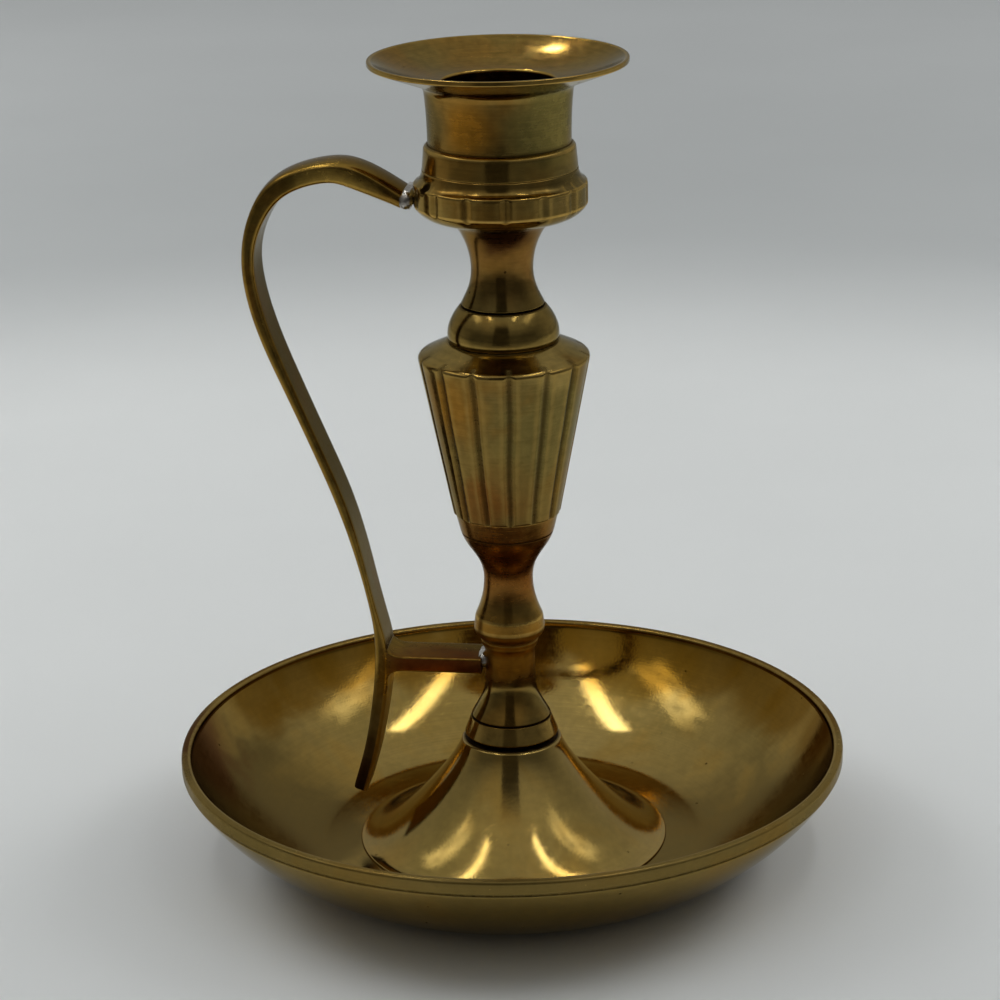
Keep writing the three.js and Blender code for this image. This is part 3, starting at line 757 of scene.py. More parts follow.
class FlutedTree(TurnedTree):
    """A turned form with round flutes cut down its flank, and one casting pit."""

    name = "fluted form"
    flute_stride = 7.31  # how far apart in the noise two flutes lie, so that each strays in its own way
    sway_rate = 55.0  # bends of a flute to a metre
    depth_rate = 0.37  # changes of its depth to a bend
    depth_range = (0.75, 1.15)
    ridge_wear = 0.5
    extra_inputs = {"Flutes": "NodeSocketInt", "Pit": "NodeSocketVector"} | dict.fromkeys((
        "Depth", "Soften", "Sway", "First Turn", "Foot Radius", "Foot Height", "Foot Bar", "Low",
        "Top Radius", "Top Height", "Top Bar", "High", "Dirt", "Pit Radius", "Pit Depth",
    ), "NodeSocketFloat")

    def shape(self, radius: Socket, angle: Socket, height: Socket) -> Socket:
        """Cut the flutes.

        Args:
            radius: the plain form's radius.
            angle: the angle round the axis.
            height: the height.

        Returns:
            The lesser of the radius and of the bars that cut the flutes, softened where the two meet.
        """
        wiring, given = self.wiring, self.given
        climb = wiring.minus(given["Top Height"], given["Foot Height"])
        share = wiring.over(wiring.minus(height, given["Foot Height"]), climb)
        flank = self.between("Foot Radius", "Top Radius", share)
        bar = self.between("Foot Bar", "Top Bar", share)
        pitch = wiring.over(2.0 * math.pi, given["Flutes"])
        turned_by = wiring.over(wiring.minus(angle, given["First Turn"]), pitch)
        nearest = wiring.math("ROUND", turned_by)
        off = wiring.times(wiring.minus(turned_by, nearest), pitch)
        number = wiring.math("ROUND", wiring.math("FLOORED_MODULO", nearest, given["Flutes"]))
        spot = wiring.join(wiring.times(number, self.flute_stride), wiring.times(height, self.sway_rate), 0.5)
        sway = wiring.times(wiring.minus(wiring.noise(spot, 1.0, 1.0), 0.5), given["Sway"])
        aside = wiring.plus(wiring.times(off, flank), sway)
        beside = wiring.over(wiring.math("ABSOLUTE", aside), bar)
        uneven = wiring.step(wiring.noise(spot, self.depth_rate, 0.0), 0.3, 0.7, *self.depth_range)
        dip = wiring.times(wiring.times(given["Depth"], uneven), wiring.step(beside, 0.0, 1.0, 1.0, 0.0))
        self.groove_dirt = wiring.step(beside, 0.1, 0.75, given["Dirt"], 0.0)
        ridge = wiring.times(wiring.step(beside, 0.85, 1.1), wiring.step(beside, 1.2, 1.9, 1.0, 0.0))
        self.groove_wear = wiring.times(ridge, self.ridge_wear)
        return wiring.math("SMOOTH_MIN", radius, wiring.minus(flank, dip), given["Soften"])

    def between(self, low: str, high: str, share: Socket) -> Socket:
        """Return the value that lies a share of the way between two of the tree's inputs."""
        gap = self.wiring.minus(self.given[high], self.given[low])
        return self.wiring.plus(self.given[low], self.wiring.times(gap, share))

    def finish_form(self, form: Socket) -> Socket:
        """Mark the flutes and press the pit into the form.

        Args:
            form: the fluted form.

        Returns:
            The form with dark flutes, rubbed ridges beside them and a dark dent round the pit's middle.
        """
        wiring, given = self.wiring, self.given
        here = wiring.node("GeometryNodeInputPosition").outputs[0]
        away = wiring.length(wiring.vector("SUBTRACT", here, given["Pit"]))
        reach = wiring.over(away, given["Pit Radius"])
        dent = wiring.step(reach, 0.55, 1.0, 1.0, 0.0)
        normal = wiring.node("GeometryNodeInputNormal").outputs[0]
        push = wiring.times(wiring.times(dent, given["Pit Depth"]), -1.0)
        form = self.through(form, "SetPosition", Offset=wiring.scaled(normal, push))
        height = wiring.split(here)[2]
        above = wiring.math("GREATER_THAN", height, given["Low"])
        flank = wiring.times(above, wiring.math("LESS_THAN", height, given["High"]))
        dark_pit = wiring.step(reach, 0.85, 1.05, 1.0, 0.0)
        dirt = wiring.most(wiring.times(self.groove_dirt, flank), dark_pit)
        for mark, value in zip(MARKS, (dirt, wiring.times(self.groove_wear, flank))):
            form = self.marked(form, mark, wiring.most(self.mark(mark), value))
        return form


class ThreadTree(TurnedTree):
    """A turned bar with a screw thread cut round it."""

    name = "screw thread"
    core_share = 0.5  # the least that the thread leaves of the bar's radius
    extra_inputs = dict.fromkeys(("Pitch", "Depth", "Low End", "High End"), "NodeSocketFloat")

    def shape(self, radius: Socket, angle: Socket, height: Socket) -> Socket:
        """Cut the thread.

        Args:
            radius: the bar's radius.
            angle: the angle round the axis.
            height: the height.

        Returns:
            The radius, less the thread's depth halfway between two crests, near the two ends.
        """
        wiring, given = self.wiring, self.given
        turns = wiring.minus(wiring.over(height, given["Pitch"]), wiring.over(angle, 2.0 * math.pi))
        valley = wiring.math("PINGPONG", wiring.times(turns, 2.0), 1.0)
        deep = wiring.times(wiring.step(valley, 0.1, 0.9), given["Depth"])
        below = wiring.math("LESS_THAN", height, given["Low End"])
        above = wiring.math("GREATER_THAN", height, given["High End"])
        deep = wiring.times(deep, wiring.most(below, above))
        return wiring.most(wiring.minus(radius, deep), wiring.times(radius, self.core_share))


class HexagonTree(TurnedTree):
    """A turned blank with six flats cut on it, as a chamfered nut has."""

    name = "hexagon nut"
    extra_inputs = {"Flats": "NodeSocketFloat"}

    def shape(self, radius: Socket, angle: Socket, height: Socket) -> Socket:
        """Cut the flats.

        Args:
            radius: the blank's radius.
            angle: the angle round the axis.
            height: the height, which the flats don't depend on.

        Returns:
            The lesser of the blank's radius and of the hexagon's.
        """
        wiring, given = self.wiring, self.given
        sixth = math.pi / 3.0
        past = wiring.math("FLOORED_MODULO", wiring.plus(angle, sixth / 2.0), sixth)
        off = wiring.minus(past, sixth / 2.0)
        flat = wiring.over(wiring.times(given["Flats"], 0.5), wiring.math("COSINE", off))
        return wiring.math("MINIMUM", radius, flat)


def plain_mesh(label: str, carrier: bpy.types.Object, modifier: bpy.types.Modifier) -> bpy.types.Object:
    """Turn an object and its one modifier into a plain mesh object.

    Args:
        label: the new object's name.
        carrier: the object that holds the modifier, which is removed.
        modifier: the modifier.

    Returns:
        The new object at the origin.
    """
    carrier.update_tag()
    graph = bpy.context.evaluated_depsgraph_get()
    mesh = bpy.data.meshes.new_from_object(carrier.evaluated_get(graph), depsgraph=graph)
    carrier.modifiers.remove(modifier)
    bpy.data.objects.remove(carrier)
    mesh.name = label
    made = bpy.data.objects.new(label, mesh)
    bpy.context.collection.objects.link(made)
    return made


def placed(piece: bpy.types.Object, node: str, body: Body) -> bpy.types.Object:
    """Put a finished piece in a node's place.

    Args:
        piece: the finished object.
        node: the node that it stands for.
        body: the body that it moves with.

    Returns:
        The same object.
    """
    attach(piece, body.value)
    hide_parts(node)
    LOG.info("%s stands for %s: %d faces", piece.name, node, len(piece.data.polygons))
    return piece


@dataclass
class Workshop:
    """The trees and the materials that the sub-assemblies share."""

    turned: TurnedTree = field(default_factory=TurnedTree)
    fluted: FlutedTree = field(default_factory=FlutedTree)
    thread: ThreadTree = field(default_factory=ThreadTree)
    hexagon: HexagonTree = field(default_factory=HexagonTree)
    tray_brass: Material = field(default_factory=TRAY_BRASS.material)
    foot_brass: Material = field(default_factory=FOOT_BRASS.material)
    stem_brass: Material = field(default_factory=STEM_BRASS.material)
    vase_brass: Material = field(default_factory=VASE_BRASS.material)
    handle_brass: Material = field(default_factory=HANDLE_BRASS.material)
    solder: Material = field(default_factory=SOFT_SOLDER.material)
    steel: Material = field(default_factory=BARE_STEEL.material)


# Sub-assemblies


@dataclass
class DripTray:
    """The round tray and the trumpet foot on it, in millimetres."""

    base_r: float = 40.0
    floor: float = 2.5
    wall: float = 2.0
    band_height: float = 3.2
    band_step: float = 0.4
    rim_round: float = 0.8
    well_r: float = 13.0
    well_slope: float = 5.0
    well_depth: float = 6.5
    bore_r: float = 2.7
    cone_top_r: float = 10.5
    cone_wall: float = 2.2
    cone_edge: float = 0.4
    cone_lip: float = 0.45
    sides: int = 288

    def tray_outline(self) -> Outline:
        """Draw the tray.

        Returns:
            The outline from its bore along the underside, up the bowl, over the rim and back inside.
        """
        span = span_of("drip_tray")
        rim_r, top = span.radius, span.high
        band = top - self.band_height
        bowl_r = rim_r - self.band_step
        inner_r = rim_r - self.wall
        rise = rim_r - self.base_r
        depth = top - self.floor
        well_foot = self.well_r + self.well_slope
        line = Outline((self.bore_r, self.well_depth), step=0.8)
        line.lines(
            (self.well_r, self.well_depth, 0.6), (well_foot, span.low, 0.8), (self.base_r, span.low, 0.6),
        )
        line.curve(
            (self.base_r + 0.36 * rise, 0.05 * band), (bowl_r - 0.2 * rise, 0.54 * band),
            (bowl_r, band - 0.25), 0.2,
        )
        line.lines(
            (bowl_r - 0.22, band, 0.08, 0.6), (bowl_r - 0.18, band + 0.2, 0.08, 0.6),
            (rim_r, band + self.band_step, 0.25, 0.42), (rim_r, top, self.rim_round, 0.46),
            (inner_r, top, self.rim_round, 0.5), (inner_r, top - 1.5 * self.rim_round, 0.5),
        )
        line.curve(
            (inner_r - 0.2 * rise, self.floor + 0.48 * depth),
            (self.base_r + 0.36 * rise, self.floor + 0.03 * depth), (self.base_r, self.floor), 0.4,
        )
        line.line(well_foot + self.wall, self.floor, 0.5)
        line.line(self.well_r + self.wall, self.well_depth + self.floor, 0.5, hidden=True)
        line.line(self.bore_r, self.well_depth + self.floor, hidden=True)
        line.line(self.bore_r, self.well_depth, hidden=True)
        return line

    def cone_outline(self) -> Outline:
        """Draw the trumpet foot.

        Returns:
            The outline from its inner foot edge, up the outside and back down the inside.
        """
        span = span_of("foot_cone")
        foot_r, low, top = span.radius, span.low, span.high
        height = top - low
        flare = foot_r - self.cone_top_r
        inner_top = self.cone_top_r - self.cone_wall
        inner_foot = foot_r - self.cone_wall
        line = Outline((inner_foot - self.cone_wall, low), step=0.5)
        line.lines((foot_r, low, 0.1, 0.8), (foot_r, low + self.cone_edge, 0.25))
        line.curve(
            (self.cone_top_r + 0.69 * flare, low + 0.02 * height),
            (self.cone_top_r + 0.08 * flare, low + 0.72 * height), (self.cone_top_r, top - 0.2), 0.3,
        )
        line.lines((self.cone_top_r - self.cone_lip, top, 0.2, 0.3), (self.bore_r, top, 0.0, 1.0))
        line.line(self.bore_r, top - self.cone_wall, hidden=True)
        line.line(inner_top, top - self.cone_wall, hidden=True)
        line.curve(
            (inner_top + 0.06 * flare, low + 0.66 * height), (inner_top + 0.55 * flare, low + 0.06 * height),
            (inner_foot - self.cone_wall, low), hidden=True,
        )
        return line

    def build(self, shop: Workshop) -> None:
        """Make both pieces and put them in their nodes' places.

        Args:
            shop: the trees and the materials.
        """
        tray = shop.turned.make("bowl_of_tray", self.tray_outline(), self.sides, shop.tray_brass)
        placed(tray, "drip_tray", Body.BASE)
        cone = shop.turned.make("trumpet_foot", self.cone_outline(), self.sides, shop.foot_brass)
        placed(cone, "foot_cone", Body.BASE)


@dataclass
class Stem:
    """The turned pieces from the stem's foot to the candle cup, in millimetres."""

    bore_r: float = 2.7
    foot_r: float = 9.9
    foot_lip: float = 0.95  # undercut of the stem's foot, where polish has stayed
    band_height: float = 4.5
    band_top_r: float = 8.5
    scribe: float = 0.5
    scribe_depth: float = 0.4
    cove_height: float = 8.2
    land_r: float = 5.2
    land_height: float = 7.2
    knop_cove: float = 2.0
    knop_neck_r: float = 6.0
    knop_under: float = 2.4
    knop_low_r: float = 7.4
    knop_high_r: float = 7.1
    knop_height: float = 2.5
    waist_r: float = 5.1
    waist_rise: float = 8.3
    funnel_step: float = 0.4
    funnel_line: float = 4.0  # its scribed line below the vase
    vase_foot_r: float = 11.1
    shoulder_height: float = 2.9
    shoulder_step: float = 0.4
    flutes: int = 14
    flute_depth: float = 0.5
    flute_soften: float = 0.2
    flute_sway: float = 0.9
    flute_dirt: float = 0.5
    flute_top_bar: float = 1.45
    flute_foot_bar: float = 1.15
    flute_past: Pair = (1.5, 1.0)  # how far the flutes' marks go below the flank and above it
    flute_sides: int = 44  # sides to a flute
    vase_turn: float = 11.3  # degrees from -Y
    bell_foot_r: float = 11.1
    bell_widest: float = 1.5
    bell_top_r: float = 8.8
    neck_step: float = 0.3
    neck_waist_r: float = 6.3
    neck_waist_height: float = 7.7
    neck_lip: float = 0.6
    ring_step: float = 0.9
    ring_floor: float = 3.3
    ring_under: float = 3.0
    ring_side: float = 4.5
    ring_bore: float = 13.3
    ring_bar: float = 1.35
    ring_depth: float = 0.4
    ring_dirt: float = 0.1
    ring_soften: float = 0.45
    ring_turn: float = 10.8
    pit_turn: float = -55.0  # degrees from -Y
    pit_radius: float = 1.55
    pit_depth: float = 1.0
    pit_inset: float = 0.8  # its middle's place inside the ring's side
    pit_rise: float = 0.2  # and above the top of that side
    socket_r: float = 11.2
    spigot_r: float = 13.0
    socket_floor: float = 2.7
    cup_band_r: float = 15.65
    cup_band_taper: float = 0.4
    cup_band_height: float = 4.2
    cup_band_round: float = 0.8
    cup_r: float = 14.4
    cup_top_r: float = 15.0
    cup_lip_below: float = 4.5  # socket's lip below the flange's rim
    cup_lip_rise: float = 0.8
    flange_edge: float = 1.0
    stem_sides: int = 160
    cup_sides: int = 224

    def lower_outline(self) -> Outline:
        """Draw the lower stem.

        Returns:
            The outline from its foot up past the land, the knop and the waist to the funnel's top.
        """
        span = span_of("lower_stem")
        low, top = span.low, span.high
        band = low + self.band_height
        land = band + self.scribe + self.cove_height
        land_top = land + self.land_height
        neck = land_top + self.knop_cove
        knop = neck + self.knop_under
        knop_top = knop + self.knop_height
        waist = knop_top + self.waist_rise
        funnel_r = self.vase_foot_r - self.funnel_step
        climb = top - waist
        line = Outline((self.bore_r, low), step=0.4)
        line.lines(
            (self.foot_r - self.foot_lip, low, 0.0, 1.0),
            (self.foot_r - 0.8 * self.foot_lip, low + 0.6 * self.foot_lip, 0.0, 1.0),
            (self.foot_r, low + self.foot_lip, 0.22, 0.5),
        )
        line.line(self.band_top_r, band, 0.1, wear=1.0)
        line.groove(self.band_top_r - 0.15, band, self.scribe, self.scribe_depth)
        line.curve(
            (blend(self.band_top_r, self.land_r, 0.45), band + self.scribe + 0.3 * self.cove_height),
            (self.land_r, land - 0.4 * self.cove_height), (self.land_r, land),
        )
        line.lines(
            (self.land_r, land_top - 0.6, 0.8), (self.knop_neck_r - 0.15, land_top + 0.5, 0.35),
            (self.knop_neck_r, neck - self.scribe, 0.1),
        )
        line.groove(self.knop_neck_r, neck - self.scribe, self.scribe, 0.4 * self.scribe_depth, 0.45)
        line.curve(
            (self.knop_low_r - 0.3, neck + 0.3 * self.knop_under),
            (self.knop_low_r, neck + 0.6 * self.knop_under), (self.knop_low_r, knop), 0.5,
        )
        line.line(self.knop_high_r, knop_top, 0.45)
        line.curve(
            (blend(self.knop_high_r, self.waist_r, 0.55), knop_top + 0.3 * self.waist_rise),
            (self.waist_r, waist - 0.4 * self.waist_rise), (self.waist_r, waist),
        )
        mark = top - self.funnel_line
        mark_r = blend(self.waist_r, funnel_r, 0.80)
        line.curve(
            (self.waist_r, waist + 0.34 * climb), (blend(mark_r, self.waist_r, 0.26), mark - 0.27 * climb),
            (mark_r, mark - 0.3), 0.1,
        )
        line.groove(mark_r + 0.12, mark - 0.3, 0.3, 0.14)
        line.line(funnel_r, top, 0.15)
        line.down_bore(self.bore_r, span)
        return line

    def vase_outline(self) -> Outline:
        """Draw the vase before its flutes are cut.

        Returns:
            The outline from its foot up the flank, over the shoulder and back down the bore.
        """
        span = span_of("fluted_vase")
        edge = span.high - self.shoulder_height
        line = Outline((self.bore_r, span.low), step=0.55)
        line.lines(
            (self.vase_foot_r - 0.8, span.low, 0.0, 0.7), (self.vase_foot_r, span.low, 0.3),
            (span.radius, edge, 0.95), (self.bell_foot_r + self.shoulder_step, span.high, 0.2),
            (self.bell_foot_r - 0.8, span.high, 0.0, 0.5),
        )
        line.down_bore(self.bore_r, span)
        return line

    def bell_outline(self) -> Outline:
        """Draw the bell-shaped knop.

        Returns:
            The outline from its foot up over the bell and back down the bore.
        """
        span = span_of("bell_knop")
        widest = span.low + self.bell_widest
        line = Outline((self.bore_r, span.low), step=0.35)
        line.lines(
            (self.bell_foot_r - 0.4, span.low, 0.0, 0.6), (self.bell_foot_r, span.low + 0.2, 0.15, 0.15),
        )
        line.curve(
            (self.bell_foot_r + 0.2, span.low + 0.5 * self.bell_widest),
            (span.radius, widest - 0.4 * self.bell_widest), (span.radius, widest),
        )
        line.curve(
            (span.radius, blend(widest, span.high, 0.4)),
            (blend(self.bell_top_r, span.radius, 0.5), blend(span.high, span.low, 0.2)),
            (self.bell_top_r, span.high), 0.3,
        )
        line.line(self.bell_top_r - 0.7, span.high, 0.0, 1.0)
        line.down_bore(self.bore_r, span)
        return line

    def neck_outline(self) -> Outline:
        """Draw the waisted neck.

        Returns:
            The outline from its foot through the waist to the lip under the ring and back down the bore.
        """
        span = span_of("neck")
        foot_r = self.bell_top_r - self.neck_step
        waist = span.low + self.neck_waist_height
        lip = span.high - self.neck_lip
        flare = lip - waist
        line = Outline((self.bore_r, span.low), step=0.35)
        line.lines(
            (foot_r - 0.5, span.low, 0.0, 1.0), (foot_r - 0.25, span.low + 0.35, 0.1, 1.0),
            (foot_r, span.low + 0.5, 0.15, 0.2),
        )
        line.curve(
            (blend(foot_r, self.neck_waist_r, 0.5), span.low + 0.35 * self.neck_waist_height),
            (self.neck_waist_r, waist - 0.4 * self.neck_waist_height), (self.neck_waist_r, waist),
        )
        line.curve(
            (self.neck_waist_r, waist + 0.42 * flare),
            (blend(span.radius, self.neck_waist_r, 0.5), lip - 0.1 * flare), (span.radius, lip), 0.2,
        )
        line.lines((span.radius, span.high - 0.15, 0.15), (span.radius - 0.4, span.high, 0.0, 1.0))
        line.down_bore(self.bore_r, span)
        return line

    def ring_outline(self) -> Outline:
        """Draw the cup ring before its flutes are cut.

        Returns:
            The outline from its foot round the side to the shoulder and down the dish that the cup sits in.
        """
        span = span_of("cup_ring")
        foot_r = span_of("neck").radius + self.ring_step
        side = span.low + self.ring_under
        edge = side + self.ring_side
        floor = span.low + self.ring_floor
        line = Outline((self.bore_r, span.low), step=0.3)
        line.lines((foot_r - 0.8, span.low, 0.0, 1.0), (foot_r, span.low, 0.2, 0.3))
        line.curve(
            (blend(foot_r, span.radius, 0.47), span.low),
            (blend(foot_r, span.radius, 0.8), span.low + 0.33 * self.ring_under), (span.radius, side), 0.35,
        )
        line.line(span.radius, edge - 0.2, 0.55)
        line.curve(
            (blend(self.cup_band_r, span.radius, 0.45), edge + 0.15), (self.cup_band_r + 0.2, edge + 1.0),
            (self.cup_band_r, span.high),
        )
        line.line(self.cup_band_r - 0.6, span.high, 0.0, 0.4)
        line.line(self.ring_bore, span.high, hidden=True)
        line.line(self.ring_bore, floor, hidden=True)
        line.line(self.bore_r, floor, hidden=True)
        line.line(self.bore_r, span.low, hidden=True)
        return line

    def cup_outline(self) -> Outline:
        """Draw the candle cup and its flange.

        Returns:
            The outline from the spigot up the band and the wall, round the flange and down into the socket.
        """
        span = span_of("candle_cup")
        ring_top = span_of("cup_ring").high
        band = ring_top + self.cup_band_height
        band_r = self.cup_band_r - self.cup_band_taper
        wall = band + self.cup_band_round
        lip = span.high - self.cup_lip_below
        corner = lip - self.cup_lip_rise
        overhang = span.radius - self.cup_top_r
        rim_low = span.high - self.flange_edge
        dish = span.radius - self.socket_r
        tall = corner - wall
        line = Outline((self.bore_r, span.low), step=0.4)
        line.line(self.spigot_r, span.low, hidden=True)
        line.line(self.spigot_r, ring_top, hidden=True)
        line.lines(
            (self.cup_band_r - 0.15, ring_top, 0.0, 0.5), (self.cup_band_r, ring_top + 0.12, 0.08, 0.1),
            (band_r, band + 0.3, 0.5), (self.cup_r + 0.15, wall, 0.12),
            (self.cup_r, wall + 0.12, 0.08, 1.0), (self.cup_r, wall + 0.2, 0.0, 0.5),
        )
        line.curve(
            (self.cup_r, wall + 0.6 * tall), (blend(self.cup_r, self.cup_top_r, 0.8), corner - 0.15 * tall),
            (self.cup_top_r, corner), 1.3,
        )
        line.curve(
            (self.cup_top_r + 0.15 * overhang, blend(corner, rim_low, 0.2)),
            (span.radius - 0.5 * overhang, blend(corner, rim_low, 0.5)), (span.radius, rim_low), 0.25,
        )
        line.lines((span.radius, span.high, 0.28), (span.radius - 0.7, span.high, 0.3))
        line.curve(
            (span.radius - 0.4 * dish, span.high - 0.62 * self.cup_lip_below),
            (self.socket_r + 0.3 * dish, lip + 0.1 * self.cup_lip_below), (self.socket_r, lip), 0.5,
        )
        line.lines(
            (self.socket_r, span.low + self.socket_floor, 0.6), (self.bore_r, span.low + self.socket_floor),
        )
        line.line(self.bore_r, span.low, hidden=True)
        return line

    def flute_sizes(
        self, foot: Point, top: Point, foot_bar: float, top_bar: float, turn: float,
    ) -> dict[str, object]:
        """Gather the inputs of the fluted tree.

        Args:
            foot: the flank's radius and height at its foot.
            top: the same at its top.
            foot_bar: radius of the bar that cuts a flute, at the foot.
            top_bar: the same at the top.
            turn: the first flute's turn from -Y, in degrees.

        Returns:
            The inputs by name, in metres and radians, with the pit far outside the form.
        """
        below, above = self.flute_past
        lengths = {
            "Depth": self.flute_depth, "Soften": self.flute_soften, "Sway": self.flute_sway,
            "Foot Radius": foot[0], "Foot Height": foot[1], "Foot Bar": foot_bar, "Low": foot[1] - below,
            "Top Radius": top[0], "Top Height": top[1], "Top Bar": top_bar, "High": top[1] + above,
            "Pit Radius": 1.0, "Pit Depth": 0.0,
        }
        return {name: length * MM for name, length in lengths.items()} | {
            "Flutes": self.flutes, "First Turn": math.radians(turn - 90.0), "Dirt": self.flute_dirt,
            "Pit": (1.0, 1.0, 1.0),
        }

    def vase_sizes(self) -> dict[str, object]:
        """Gather the fluted tree's inputs for the vase.

        Returns:
            The inputs by name.
        """
        vase = span_of("fluted_vase")
        foot, top = (self.vase_foot_r, vase.low), (vase.radius, vase.high - self.shoulder_height)
        return self.flute_sizes(foot, top, self.flute_foot_bar, self.flute_top_bar, self.vase_turn)

    def ring_sizes(self) -> dict[str, object]:
        """Gather the fluted tree's inputs for the cup ring.

        Returns:
            The inputs by name, with the casting pit near the top of the ring's side.
        """
        ring = span_of("cup_ring")
        side = ring.low + self.ring_under
        top = side + self.ring_side
        pit = on_flank(self.pit_turn, ring.radius - self.pit_inset, top + self.pit_rise)
        feet = (ring.radius, side), (ring.radius, top)
        return self.flute_sizes(*feet, self.ring_bar, self.ring_bar, self.ring_turn) | {
            "Depth": self.ring_depth * MM, "Dirt": self.ring_dirt, "Soften": self.ring_soften * MM,
            "Pit": tuple(part * MM for part in pit), "Pit Radius": self.pit_radius * MM,
            "Pit Depth": self.pit_depth * MM,
        }

    def build(self, shop: Workshop) -> None:
        """Make the six turned pieces and put them in their nodes' places.

        Args:
            shop: the trees and the materials.
        """
        sides, many = self.stem_sides, self.flutes * self.flute_sides
        plain, fluted, stem, vase = shop.turned, shop.fluted, shop.stem_brass, shop.vase_brass
        for node, piece in (
            ("lower_stem", plain.make("lower_turning", self.lower_outline(), sides, stem)),
            ("bell_knop", plain.make("bell_turning", self.bell_outline(), sides, stem)),
            ("neck", plain.make("neck_turning", self.neck_outline(), sides, vase)),
            ("candle_cup", plain.make("cup_and_flange", self.cup_outline(), self.cup_sides, stem)),
            ("fluted_vase", fluted.make("fluted_body", self.vase_outline(), many, vase, self.vase_sizes())),
            ("cup_ring", fluted.make("scalloped_ring", self.ring_outline(), many, stem, self.ring_sizes())),
        ):
            placed(piece, node, Body.STEM)


@dataclass(frozen=True)
class Station:
    """One point of the handle's middle line, in millimetres: how far out, how high and how thick."""

    out: float
    height: float
    thick: float

    def place(self) -> Vector:
        """Return its place in the part."""
        return Vector((-self.out, 0.0, self.height))


@dataclass
class Mark:
    """One point of a section: across the width, out from the middle, and its wear and residue."""

    across: float
    out: float
    wear: float
    residue: float


